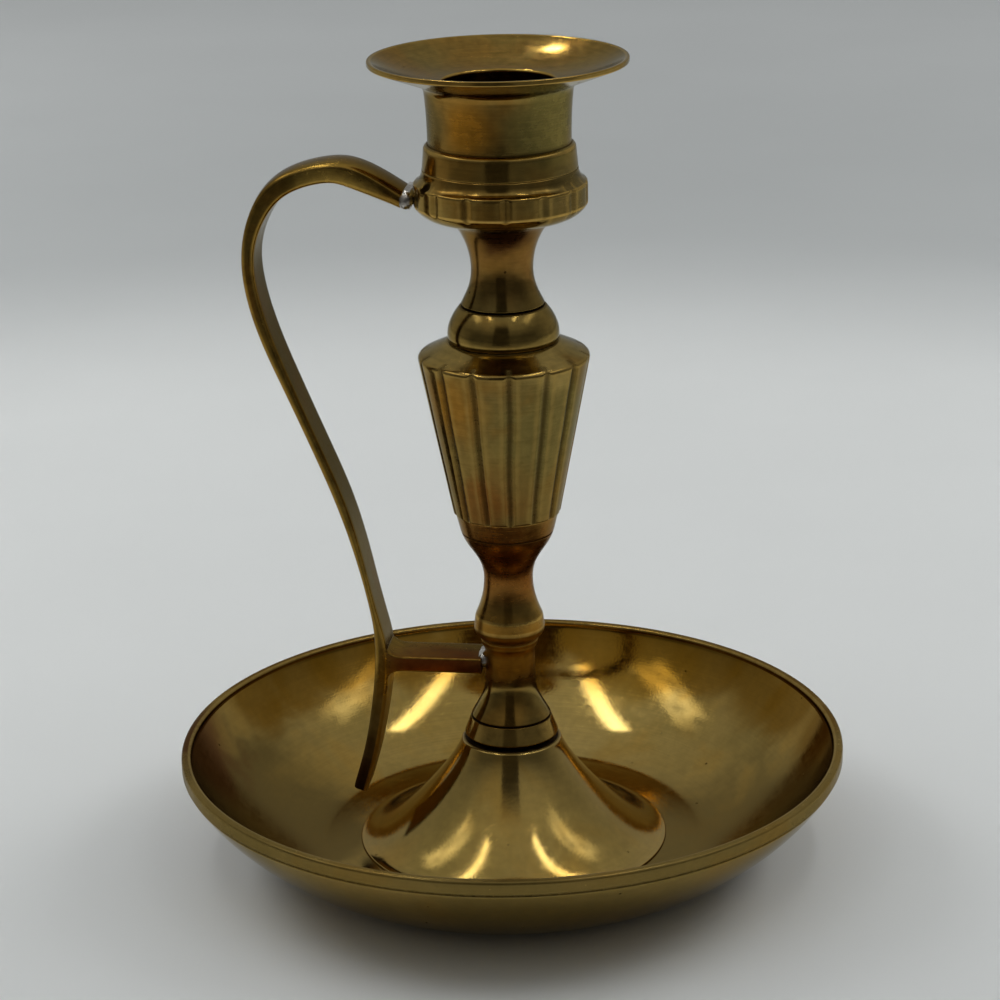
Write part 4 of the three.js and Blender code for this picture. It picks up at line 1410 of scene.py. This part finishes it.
@dataclass
class Handle:
    """The cast handle with its bracket and the solder at its two joints, in millimetres."""

    stem: Stem  # what it is soldered to
    width: float = 9.8
    bracket_width: float = 9.2
    bracket_thick: float = 3.3
    bracket_flare: float = 3.0
    bracket_gap: float = 0.4  # the bracket's end from the stem, as a share of the solder's gap
    flare_ease: float = 2.6  # how late the bracket's flare sets in
    crown: float = 0.45
    edge: float = 0.85
    end_ease: float = 1.5  # how soon the strap's edges go from the rounder end to their own radius
    tip_thick: float = 2.6
    end_thick: float = 4.8
    arch_thick: float = 4.2
    reach_thick: float = 2.9
    middle_thick: float = 2.3
    lower_thick: float = 1.6
    elbow_thick: float = 3.2
    tail_thick: float = 3.1
    arch_out: float = 35.0
    arch_rise: float = 4.35
    reach_out: float = 51.6
    elbow_out: float = 26.8
    tail_out: float = 32.4
    tail_drop: float = 29.0
    solder_gap: float = 1.1
    end_edge: float = 1.7
    bracket_edge: float = 0.45
    tarnish: float = 0.6
    tail_dark: float = 0.95
    tail_ease: float = 0.7  # how soon the tail darkens
    face_share: float = 0.3  # a point further from the middle, as a share of the thickness, is on a face
    arch_wear_and_sheen: float = 0.9  # how bright the arch's outer face is made: rubbed metal, with painted sheen
    arch_wear_and_sheen_past: float = 0.05  # the middle of that patch past the crest, as a share of the strap
    arch_wear_and_sheen_share: float = 0.17  # how far that patch reaches each way, as a share of the strap
    joint_shade_and_flux: float = 6.0  # how far the painted shade of the gap at the joint, with the solder's burnt flux, darkens the bracket
    ring_bead_length: float = 2.9
    ring_bead_shares: Pair = (0.44, 0.46)  # of the strap's thickness and width
    ring_bead_rise: float = 0.7
    ring_bead_lap: float = 0.7  # how far it starts back on the strap
    ring_bead_seed: float = 3.0
    stem_bead_width: float = 6.0
    stem_bead_length: float = 2.2
    stem_bead_share: float = 0.4  # of the bracket's thickness
    stem_bead_edge: float = 1.2
    stem_bead_crown: float = 0.3
    stem_bead_rise: float = 0.75
    stem_bead_seed: float = 8.0
    bead_swell: float = 0.3
    bead_ends: float = 0.08  # how far along its swelling a bead is at its two ends
    bead_lump: float = 0.35
    lump_rate: float = 0.45  # lumps to a millimetre
    bead_wear: float = 0.3
    sharp: float = 38.0  # degrees, past which an edge of the casting is sharp
    bead_sharp: float = 60.0
    steps: int = 240
    ease: int = 7
    corner_steps: int = 5
    face_steps: int = 8
    bracket_steps: int = 30
    bead_steps: int = 12

    def ring_middle(self) -> float:
        """Return the height of the middle of the cup ring's side."""
        return span_of("cup_ring").low + self.stem.ring_under + self.stem.ring_side / 2

    def bracket_height(self) -> float:
        """Return the height of the bracket's middle, which the solder is centred on."""
        span = span_of("stem_solder")
        return (span.low + span.high) / 2

    def stations(self) -> list[Station]:
        """Lay out the middle line.

        Returns:
            The stations from inside the cup ring, over the arch and down to the tail's end.
        """
        ring_r = span_of("cup_ring").radius
        mid, low = self.ring_middle(), self.bracket_height()
        rise, climb = self.arch_rise, mid - low
        reach = self.reach_out - self.elbow_out
        shoulder = self.reach_out - self.arch_out
        tail = self.tail_out - self.elbow_out
        return [
            Station(ring_r - self.end_thick / 2, mid - 0.8 * rise, self.tip_thick),
            Station(ring_r + 0.54 * (self.arch_out - ring_r), mid + 0.6 * rise, self.end_thick),
            Station(self.arch_out, mid + rise, self.arch_thick),
            Station(self.arch_out + 0.66 * shoulder, mid + 0.04 * rise, self.arch_thick),
            Station(self.reach_out, low + 0.882 * climb, self.reach_thick),
            Station(self.elbow_out + 0.923 * reach, low + 0.732 * climb, self.reach_thick),
            Station(self.elbow_out + 0.605 * reach, low + 0.533 * climb, self.middle_thick),
            Station(self.elbow_out + 0.274 * reach, low + 0.328 * climb, self.middle_thick),
            Station(self.elbow_out + 0.072 * reach, low + 0.129 * climb, self.lower_thick),
            Station(self.elbow_out, low, self.elbow_thick),
            Station(self.elbow_out + 0.43 * tail, low - 0.6 * self.tail_drop, self.tail_thick),
            Station(self.tail_out, low - self.tail_drop, self.tail_thick),
        ]

    def section(
        self, half: float, half_width: float, edge: float, crown: float, tarnish: float = 0.0,
    ) -> list[Mark]:
        """Draw a section of the casting: a bar with rounded edges.

        Args:
            half: half of its thickness.
            half_width: half of its width.
            edge: the radius of its edges.
            crown: how far its outer face swells at the middle.
            tarnish: how dark its outer face is.

        Returns:
            Its points all the way round, from the edge at the right of the outer face.
        """
        edge = min(edge, 0.85 * half)
        made = []
        for side, up in ((1, 1), (-1, 1), (-1, -1), (1, -1)):
            for i in range(self.corner_steps + 1):
                turn = (math.pi / 2) * i / self.corner_steps
                turn = turn if side * up > 0 else math.pi / 2 - turn
                across = side * (half_width - edge + edge * math.cos(turn))
                out = up * (half - edge + edge * math.sin(turn))
                made.append(Mark(across, out, math.sin(math.pi * i / self.corner_steps), 0.0))
            if side * up > 0:
                face = half_width - edge
                dark = tarnish if up > 0 else 0.0
                shares = [i / self.face_steps for i in range(1, self.face_steps)]
                made += [Mark(side * blend(face, -face, s), up * half, 0.0, dark) for s in shares]
        for mark in made:
            if mark.out > 0:
                mark.out -= crown * (mark.across / half_width) ** 2
        return made

    def middle_line(self) -> list[Station]:
        """Smooth the line through the stations.

        Returns:
            Many stations, evenly spread, with the bends eased.
        """
        stations = self.stations()
        raw = [along(stations, i / self.steps) for i in range(self.steps + 1)]
        eased = []
        for i in range(len(raw)):
            reach = min(self.ease, i, len(raw) - 1 - i)
            near = raw[i - reach:i + reach + 1]
            eased.append(Station(*(sum(values) / len(near) for values in zip(*near))))
        return eased

    def strap_line(self) -> list[Station]:
        """Return the part of the middle line that the strap follows, from the solder at the ring."""
        ring_r = span_of("cup_ring").radius
        return [s for s in self.middle_line() if s.out > ring_r + self.solder_gap]

    def strap(self) -> bpy.types.Object:
        """Loft the strap and its tail.

        Returns:
            A closed mesh object, from the solder at the ring to the square end of the tail.
        """
        line = self.strap_line()
        crest = max(range(len(line)), key=lambda i: line[i].height)
        low = self.bracket_height()
        rows = []
        for i, here in enumerate(line):
            before, after = line[max(i - 1, 0)], line[min(i + 1, len(line) - 1)]
            run = Vector((before.out - after.out, 0.0, after.height - before.height)).normalized()
            share = max(0.0, 1.0 - i / crest)
            edge = blend(self.edge, self.end_edge, share ** self.end_ease)
            marks = self.section(here.thick / 2, self.width / 2, edge, self.crown)
            below = min(1.0, max(0.0, (low - here.height) / self.tail_drop))
            dark = self.tail_dark * below ** self.tail_ease
            # the arch's outer face is lightened: rubbed metal, with painted sheen
            off = abs((i - crest) / len(line) - self.arch_wear_and_sheen_past) / self.arch_wear_and_sheen_share
            worn = self.arch_wear_and_sheen * max(0.0, 1.0 - off)
            face = self.face_share * here.thick
            for mark in marks:
                inside = mark.out < -face
                mark.residue = 0.0 if inside else dark
                if inside:
                    mark.wear = max(mark.wear, dark)
                elif mark.out > face:
                    mark.wear = max(mark.wear, worn)
            rows.append(row_of(marks, here.place(), Vector((run.z, 0.0, -run.x))))
        return lofted("strap", rows)

    def bracket(self) -> bpy.types.Object:
        """Loft the bracket from the stem to the strap.

        Returns:
            A closed mesh object, flared where it runs into the strap.
        """
        low = self.bracket_height()
        inner = self.stem.land_r + self.bracket_gap * self.solder_gap
        root = self.elbow_out
        flare_from = root - self.elbow_thick / 2 - self.bracket_flare
        rows = []
        for i in range(self.bracket_steps + 1):
            out = blend(inner, root, i / self.bracket_steps)
            share = max(0.0, (out - flare_from) / (root - flare_from))
            half = self.bracket_thick / 2 + self.bracket_flare * share ** self.flare_ease
            marks = self.section(half, self.bracket_width / 2, self.bracket_edge, 0.0, self.tarnish)
            # painted shade: the bracket darkens towards the stem, for the shadow in the gap at its end, and
            # for burnt flux
            dark = max(0.0, 1.0 - (out - inner) / self.joint_shade_and_flux)
            for mark in marks:
                mark.residue = max(mark.residue, dark)
            rows.append(row_of(marks, Vector((-out, 0.0, low)), Vector((0.0, 0.0, 1.0))))
        return lofted("bracket", rows)

    def bead(
        self, label: str, marks: list[Mark], place: Vector, run: Vector, length: float, seed: float,
    ) -> bpy.types.Object:
        """Model a lump of solder that fills a joint.

        Args:
            label: its name.
            marks: the section that it swells out from.
            place: where it starts, on the casting.
            run: the direction from the casting to what it is soldered to.
            length: how long it is.
            seed: what its lumps are drawn from.

        Returns:
            A closed mesh object.
        """
        up = Vector((-run.z, 0.0, run.x))
        rows = []
        for i in range(self.bead_steps + 1):
            share = i / self.bead_steps
            rise = blend(self.bead_ends, 1.0 - self.bead_ends, share)
            swell = 1.0 + self.bead_swell * math.sin(math.pi * rise)
            row = []
            for mark in marks:
                reach = Vector((0.0, mark.across, 0.0)) + up * mark.out
                spot = place + run * (length * share) + reach * swell
                lump = noise.noise(spot * self.lump_rate + Vector((seed, 0.0, 0.0)))
                row.append((spot + reach.normalized() * self.bead_lump * lump, self.bead_wear, 0.0))
            rows.append(row)
        return lofted(label, rows)

    def build(self, shop: Workshop) -> None:
        """Join the strap and the bracket into one casting, and solder it to the ring and the stem.

        Args:
            shop: the trees and the materials.
        """
        strap, bracket = self.strap(), self.bracket()
        union = strap.modifiers.new("joined", "BOOLEAN")
        union.operation, union.solver, union.object = "UNION", "EXACT", bracket
        casting = plain_mesh("handle_casting", strap, union)
        bpy.data.objects.remove(bracket)
        dressed(casting, shop.handle_brass, self.sharp)
        placed(casting, "handle", Body.STEM)
        for node, bead in (("cup_solder", self.ring_bead()), ("stem_solder", self.stem_bead())):
            dressed(bead, shop.solder, self.bead_sharp)
            placed(bead, node, Body.STEM)

    def ring_bead(self) -> bpy.types.Object:
        """Model the solder between the strap's end and the cup ring.

        Returns:
            A closed mesh object.
        """
        line = self.strap_line()
        start = line[0].place()
        run = (start - line[3].place()).normalized()
        thick_share, width_share = self.ring_bead_shares
        marks = self.section(thick_share * line[0].thick, width_share * self.width, self.end_edge, self.crown)
        place = start + Vector((0.0, 0.0, self.ring_bead_rise)) - run * self.ring_bead_lap
        return self.bead("ring_bead", marks, place, run, self.ring_bead_length, self.ring_bead_seed)

    def stem_bead(self) -> bpy.types.Object:
        """Model the solder between the bracket and the stem.

        Returns:
            A closed mesh object.
        """
        half = self.stem_bead_share * self.bracket_thick
        marks = self.section(half, self.stem_bead_width / 2, self.stem_bead_edge, self.stem_bead_crown)
        height = self.bracket_height() + self.stem_bead_rise
        place = Vector((-self.stem.land_r - self.solder_gap, 0.0, height))
        run = Vector((1.0, 0.0, 0.0))
        return self.bead("stem_bead", marks, place, run, self.stem_bead_length, self.stem_bead_seed)


@dataclass
class Fixings:
    """The tie rod through the stem, with its washer and its two nuts, in millimetres."""

    thread_pitch: float = 0.8
    thread_depth: float = 0.45
    thread_length: float = 9.0
    thread_step: float = 0.1
    rod_edge: float = 0.5
    washer_bore: float = 2.7
    washer_edge: float = 0.25
    nut_bore: float = 2.35
    nut_flats: float = 8.0
    nut_chamfer: float = 0.385
    nut_inset: float = 0.1  # the flat end's edge inside the flats
    nut_lead: float = 0.3  # chamfer of the bore
    nut_sharp: float = 25.0  # degrees, past which its edges are sharp
    rod_sides: int = 48
    washer_sides: int = 96
    nut_sides: int = 96

    def rod_outline(self) -> Outline:
        """Draw the rod.

        Returns:
            Its outline, with fine points where its two ends are threaded and few between.
        """
        span = span_of("tie_rod")
        line = Outline((0.0, span.low), step=self.thread_step)
        line.lines(
            (span.radius - self.rod_edge, span.low), (span.radius, span.low + self.rod_edge),
            (span.radius, span.low + self.thread_length),
        )
        line.line(span.radius, span.high - self.thread_length, hidden=True)
        line.lines(
            (span.radius, span.high - self.rod_edge), (span.radius - self.rod_edge, span.high),
            (0.0, span.high),
        )
        line.line(0.0, span.low, hidden=True)
        return line

    def washer_outline(self) -> Outline:
        """Draw the washer.

        Returns:
            Its outline, with softened edges.
        """
        span = span_of("tray_washer")
        line = Outline((self.washer_bore, span.low), step=0.4)
        line.lines(
            (span.radius, span.low, self.washer_edge), (span.radius, span.high, self.washer_edge),
            (self.washer_bore, span.high, self.washer_edge), (self.washer_bore, span.low, self.washer_edge),
        )
        return line

    def nut_outline(self, node: str) -> Outline:
        """Draw the round blank of a nut, chamfered at both ends.

        Args:
            node: the nut's node.

        Returns:
            Its outline, before the tree cuts the flats.
        """
        span = span_of(node)
        corner = self.nut_flats / math.sqrt(3.0)
        face = self.nut_flats / 2 - self.nut_inset
        lead_r = self.nut_bore + self.nut_lead
        line = Outline((self.nut_bore, span.low + self.nut_lead), step=0.35)
        line.lines(
            (lead_r, span.low), (face, span.low), (corner, span.low + self.nut_chamfer),
            (corner, span.high - self.nut_chamfer), (face, span.high), (lead_r, span.high),
            (self.nut_bore, span.high - self.nut_lead),
        )
        line.line(self.nut_bore, span.low + self.nut_lead, hidden=True)
        return line

    def build(self, shop: Workshop) -> None:
        """Make the four pieces and put them in their nodes' places.

        Args:
            shop: the trees and the materials.
        """
        span = span_of("tie_rod")
        sizes = {
            "Pitch": self.thread_pitch * MM,
            "Depth": self.thread_depth * MM,
            "Low End": (span.low + self.thread_length) * MM,
            "High End": (span.high - self.thread_length) * MM,
        }
        rod = shop.thread.make("threaded_rod", self.rod_outline(), self.rod_sides, shop.steel, sizes)
        placed(rod, "tie_rod", Body.STEM)
        washer = shop.turned.make("round_washer", self.washer_outline(), self.washer_sides, shop.steel)
        placed(washer, "tray_washer", Body.STEM)
        for label, node in (("nut_below", "tray_nut"), ("nut_above", "cup_nut")):
            sizes = {"Flats": self.nut_flats * MM}
            nut = shop.hexagon.make(label, self.nut_outline(node), self.nut_sides, shop.steel, sizes)
            nut.data.set_sharp_from_angle(angle=math.radians(self.nut_sharp))
            placed(nut, node, Body.STEM)


def dressed(piece: bpy.types.Object, finish: Material, sharp: float) -> None:
    """Give a modelled piece its one material, and shade it smooth.

    Args:
        piece: the piece.
        finish: its material.
        sharp: the angle in degrees past which an edge stays sharp.
    """
    piece.data.materials.clear()
    piece.data.materials.append(finish)
    piece.data.shade_smooth()
    piece.data.set_sharp_from_angle(angle=math.radians(sharp))


def row_of(marks: list[Mark], place: Vector, up: Vector) -> list[tuple[Vector, float, float]]:
    """Return a section's points at a place, in millimetres, each with its wear and its residue."""
    aside = Vector((0.0, 1.0, 0.0))
    return [(place + aside * m.across + up * m.out, m.wear * (1.0 - m.residue), m.residue) for m in marks]


def lofted(label: str, rows: list[list[tuple[Vector, float, float]]]) -> bpy.types.Object:
    """Join rows of points into a closed shell.

    Args:
        label: the object's name.
        rows: rows with the same number of points, in millimetres, with their wear and residue.

    Returns:
        The new object, with the wear and residue kept as attributes.
    """
    shell = bmesh.new()
    wear_layer = shell.verts.layers.float.new("wear")
    dirt_layer = shell.verts.layers.float.new("residue")
    made = []
    for row in rows:
        line = []
        for spot, wear, residue in row:
            vertex = shell.verts.new(spot * MM)
            vertex[wear_layer] = wear
            vertex[dirt_layer] = residue
            line.append(vertex)
        made.append(line)
    for first, second in zip(made, made[1:]):
        for i in range(len(first)):
            j = (i + 1) % len(first)
            shell.faces.new((first[i], first[j], second[j], second[i]))
    shell.faces.new(made[0])
    shell.faces.new(made[-1])
    return closed_object(label, shell)


def along(stations: list[Station], share: float) -> tuple[float, ...]:
    """Walk the smooth line through the stations.

    Args:
        stations: the stations, evenly spread over the walk.
        share: how far to walk, from 0 to 1.

    Returns:
        How far out, how high and how thick the line is there.
    """
    last = len(stations) - 1
    whole = min(int(share * last), last - 1)
    t = share * last - whole
    near = [stations[min(max(whole + i, 0), last)] for i in (-1, 0, 1, 2)]
    found = []
    for a, b, c, d in zip(*((s.out, s.height, s.thick) for s in near)):
        start, end = (c - a) / 2, (d - b) / 2
        cube, square = 2 * b - 2 * c + start + end, -3 * b + 3 * c - 2 * start - end
        found.append(((cube * t + square) * t + start) * t + b)
    return tuple(found)


def closed_object(label: str, shell: bmesh.types.BMesh) -> bpy.types.Object:
    """Turn a closed shell into an object whose faces point outwards.

    Args:
        label: the object's name.
        shell: the shell, which is freed.

    Returns:
        The new object.
    """
    bmesh.ops.recalc_face_normals(shell, faces=shell.faces)
    mesh = bpy.data.meshes.new(label)
    shell.to_mesh(mesh)
    shell.free()
    made = bpy.data.objects.new(label, mesh)
    bpy.context.collection.objects.link(made)
    return made


# Stage


@dataclass(frozen=True)
class Lamp:
    """A lamp over the object: its middle to the right of it and behind it, and its size, in metres."""

    label: str
    aside: float
    middle: float
    size: Pair
    power: float  # watts


@dataclass(frozen=True)
class Studio:
    """The floor, the lamps, the sky round them and the camera, in metres and degrees."""

    view_turn: float = 8.0  # the camera's turn round the object, from -Y towards +X
    camera_distance: float = 0.5872
    camera_height: float = 0.2777
    camera_pitch: float = 18.81
    camera_yaw: float = -0.139
    camera_roll: float = 1.23
    lens: float = 107.91  # millimetres
    frame_width: float = 36.0  # millimetres
    clip: Pair = (0.01, 50.0)
    floor_r: float = 7.0
    floor_sides: int = 96
    floor_near: Colour = (0.790, 0.810, 0.803)
    # painted shade and light on the floor: darker away from the object, paler again far behind it, darker
    # before the camera
    far_floor_shade: Colour = (0.53, 0.55, 0.55)
    far_floor_shade_fade: Pair = (0.34, 0.56)
    back_floor_light: Colour = (0.68, 0.70, 0.70)
    back_floor_light_fade: Pair = (0.62, 1.1)
    front_floor_shade: Colour = (0.40, 0.41, 0.41)
    front_floor_shade_fade: Pair = (0.24, 0.40)
    floor_clouds: float = 9.0  # to a metre
    floor_cloud_depth: float = 0.015
    floor_roughness: float = 0.75
    floor_gloss: float = 0.2
    lamp_turn: float = 3.4
    lamp_height: float = 0.60
    strips: tuple[Lamp, ...] = tuple(
        Lamp("strip lamp", aside, -0.03, (0.044, 0.46), 0.21) for aside in (-0.208, 0.208)
    )
    strip_dots: tuple[int, int] = (4, 24)
    dot_edge: Pair = (0.18, 0.36)  # where a dot fades, as shares of its cell
    dot_glow: Pair = (4.6, 0.08)  # of a dot and of the gaps, to the strip's mean
    wides: tuple[Lamp, ...] = (
        Lamp("wide lamp", -0.48, 0.0, (0.20, 0.52), 0.36), Lamp("wide lamp", 0.48, 0.0, (0.20, 0.52), 0.25),
    )
    wide_clouds: float = 3.5  # patches of light across a wide lamp
    cloud_fade: Pair = (0.35, 0.65)
    cloud_glow: Pair = (0.45, 1.5)
    wide_edge: Pair = (0.5, 0.69)  # where a wide lamp fades, from its middle, as shares of its size
    wide_ragged: float = 0.4
    fills: tuple[Lamp, ...] = tuple(
        Lamp("floor lamp", aside, 0.37, (0.4, 0.8), 2.9) for aside in (-0.66, 0.66)
    )
    back: Lamp = Lamp("back lamp", -0.13, 0.40, (0.026, 0.04), 0.0009)
    back_spread: float = 14.0
    back_aim: Place = (0.009, 0.020, 0.168)
    sky_colour: Colour = (0.98, 1.0, 1.0)
    sky_front: float = 0.10
    sky_back: float = 0.37
    sky_back_fade: Pair = (-0.5, 0.9)
    sky_top: float = 0.41
    sky_top_fade: Pair = (0.3, 0.85)
    flag_distance: float = 0.66
    flag_colour: Colour = (1.0, 0.97, 0.92)
    flag_glow: float = 0.045
    flag_left: float = -0.27
    flag_right: float = 0.15
    flag_fade: float = 0.62
    flag_top: float = 1.15

    def turned(self, x: float, y: float, z: float) -> Vector:
        """Return a place given as the camera sees it (right, away, up), in the scene's frame."""
        return Matrix.Rotation(math.radians(self.view_turn), 3, "Z") @ Vector((x, y, z))

    def camera(self) -> None:
        """Make the camera where the photograph was taken from."""
        pitch, yaw, roll = (math.radians(v) for v in (self.camera_pitch, self.camera_yaw, self.camera_roll))
        level = math.cos(pitch)
        ahead = self.turned(math.sin(yaw) * level, math.cos(yaw) * level, -math.sin(pitch))
        right = ahead.cross(Vector((0, 0, 1))).normalized()
        up = right.cross(ahead)
        across = math.cos(roll) * right - math.sin(roll) * up
        upright = math.sin(roll) * right + math.cos(roll) * up
        turn = Matrix((across, upright, -ahead)).transposed()
        data = bpy.data.cameras.new("camera")
        data.lens, data.sensor_width = self.lens, self.frame_width
        data.clip_start, data.clip_end = self.clip
        camera = bpy.data.objects.new("camera", data)
        place = self.turned(0, -self.camera_distance, self.camera_height)
        camera.matrix_world = Matrix.Translation(place) @ turn.to_4x4()
        bpy.context.collection.objects.link(camera)
        bpy.context.scene.camera = camera

    def hung(self, lamp: Lamp) -> bpy.types.Object:
        """Hang a lamp over the object, unseen by the camera.

        Args:
            lamp: its place, size and power.

        Returns:
            The lamp's object.
        """
        data = bpy.data.lights.new(lamp.label, "AREA")
        data.shape, data.energy = "RECTANGLE", lamp.power
        data.size, data.size_y = lamp.size
        made = bpy.data.objects.new(lamp.label, data)
        turn = Matrix.Rotation(math.radians(self.lamp_turn), 4, "Z")
        made.matrix_world = turn @ Matrix.Translation((lamp.aside, lamp.middle, self.lamp_height))
        made.visible_camera = False
        bpy.context.collection.objects.link(made)
        return made

    def shaded(self, lamp: bpy.types.Light) -> tuple[Wiring, bpy.types.Node, Socket]:
        """Start the shading of a lamp.

        Args:
            lamp: the lamp's light.

        Returns:
            The wiring, the node that glows and the place across the lamp, from 0 to 1 each way.
        """
        lamp.use_nodes = True
        wiring = Wiring(lamp.node_tree)
        where = wiring.node("ShaderNodeNewGeometry").outputs["Parametric"]
        return wiring, lamp.node_tree.nodes["Emission"], where

    def dotted(self, lamp: bpy.types.Light) -> None:
        """Break a lamp's light into rows of small dots, as a strip of many small bulbs gives.

        Args:
            lamp: the lamp's light.
        """
        wiring, glow, where = self.shaded(lamp)
        off = []
        for share, count in zip(wiring.split(where), self.strip_dots):
            cell = wiring.math("FRACT", wiring.times(share, float(count)))
            off.append(wiring.minus(cell, 0.5))
        away = wiring.length(wiring.join(*off, 0.0))
        wiring.feed(glow, {"Strength": wiring.step(away, *self.dot_edge, *self.dot_glow)})

    def clouded(self, lamp: bpy.types.Light) -> None:
        """Make a lamp's light uneven and ragged at its edges, as a shaded window gives.

        Args:
            lamp: the lamp's light.
        """
        wiring, glow, where = self.shaded(lamp)
        cloud = wiring.noise(where, self.wide_clouds, 2.0)
        level = wiring.step(cloud, *self.cloud_fade, *self.cloud_glow)
        middle = wiring.vector("SUBTRACT", where, (0.5, 0.5, 0.0))
        across, down, _ = wiring.split(wiring.vector("ABSOLUTE", middle))
        edge = wiring.plus(wiring.most(across, down), wiring.times(cloud, self.wide_ragged))
        wiring.feed(glow, {"Strength": wiring.times(level, wiring.step(edge, *self.wide_edge, 1.0, 0.0))})

    def aimed(self, lamp: bpy.types.Object) -> None:
        """Turn a lamp to the candle cup's flange and narrow its beam to it.

        Args:
            lamp: the lamp's object.
        """
        place = lamp.matrix_world.translation.copy()
        turn = (Vector(self.back_aim) - place).to_track_quat("-Z", "Y").to_matrix()
        lamp.matrix_world = Matrix.Translation(place) @ turn.to_4x4()
        lamp.data.spread = math.radians(self.back_spread)
        lamp.visible_diffuse = False

    def sky(self) -> None:
        """Light the room evenly: darker on the camera's side, paler behind and above the object."""
        world = bpy.data.worlds.new("room")
        world.use_nodes = True
        wiring = Wiring(world.node_tree)
        facing = wiring.node("ShaderNodeTexCoord").outputs["Generated"]
        behind = wiring.reach(facing, self.turned(0, 1, 0))
        level = wiring.step(behind, *self.sky_back_fade, self.sky_front, self.sky_back)
        strength = wiring.step(wiring.split(facing)[2], *self.sky_top_fade, level, self.sky_top)
        sheet = world.node_tree.nodes["Background"]
        wiring.feed(sheet, {"Strength": strength, "Color": opaque(self.sky_colour)})
        bpy.context.scene.world = world

    def flag(self) -> None:
        """Stand a dark card behind the camera, unseen by it: a sheet of painted shade for the dark side of
        the room, glowing faintly, more so towards its top, where it fades into the sky.
        """
        low = self.turned(self.flag_left, -self.flag_distance, 0.0)
        side = self.turned(self.flag_right, -self.flag_distance, 0.0)
        high = Vector((0, 0, self.flag_top))
        mesh = bpy.data.meshes.new("dark_card")
        mesh.from_pydata([low, side, side + high, low + high], [], [(0, 1, 2, 3)])
        card = bpy.data.objects.new("dark_card", mesh)
        made, wiring, _ = blank_material("dark card")
        height = wiring.split(wiring.place())[2]
        strength = wiring.step(height, self.flag_fade, self.flag_top, self.flag_glow, self.sky_top)
        glow = wiring.node("ShaderNodeEmission", {"Color": opaque(self.flag_colour), "Strength": strength})
        wiring.feed(made.node_tree.nodes["Material Output"], {"Surface": glow.outputs[0]})
        mesh.materials.append(made)
        card.visible_camera = False
        bpy.context.collection.objects.link(card)

    def floor(self) -> None:
        """Lay the pale floor with painted shade and light: darker away from the object, paler again far
        behind, darker before the camera.
        """
        shell = bmesh.new()
        bmesh.ops.create_circle(shell, cap_ends=True, radius=self.floor_r, segments=self.floor_sides)
        floor = closed_object("floor", shell)
        made, wiring, shader = blank_material("pale floor")
        place = wiring.place()
        away = wiring.length(place)
        colour = wiring.mix(wiring.step(away, *self.far_floor_shade_fade), self.floor_near, self.far_floor_shade)
        colour = wiring.mix(wiring.step(away, *self.back_floor_light_fade), colour, self.back_floor_light)
        nearer = wiring.reach(place, self.turned(0, -1, 0))
        colour = wiring.mix(wiring.step(nearer, *self.front_floor_shade_fade), colour, self.front_floor_shade)
        cloud = wiring.noise(place, self.floor_clouds, 3.0)
        shade = wiring.varied(cloud, 1.0 - self.floor_cloud_depth, 1.0 + self.floor_cloud_depth)
        wiring.feed(shader, {
            "Base Color": wiring.scaled(colour, shade),
            "Roughness": self.floor_roughness,
            "Specular IOR Level": self.floor_gloss,
        })
        floor.data.materials.append(made)

    def build(self) -> None:
        """Set the stage, and leave the view settings plain."""
        self.camera()
        self.sky()
        self.flag()
        self.floor()
        for strip, wide, fill in zip(self.strips, self.wides, self.fills):
            self.dotted(self.hung(strip).data)
            self.clouded(self.hung(wide).data)
            self.hung(fill).visible_glossy = False
        self.aimed(self.hung(self.back))
        bpy.context.scene.view_settings.view_transform = "Standard"


def main() -> None:
    logging.basicConfig(level=logging.INFO, format="%(message)s")
    Studio().build()
    shop = Workshop()
    DripTray().build(shop)
    stem = Stem()
    stem.build(shop)
    Handle(stem).build(shop)
    Fixings().build(shop)


if __name__ == "__main__":
    main()
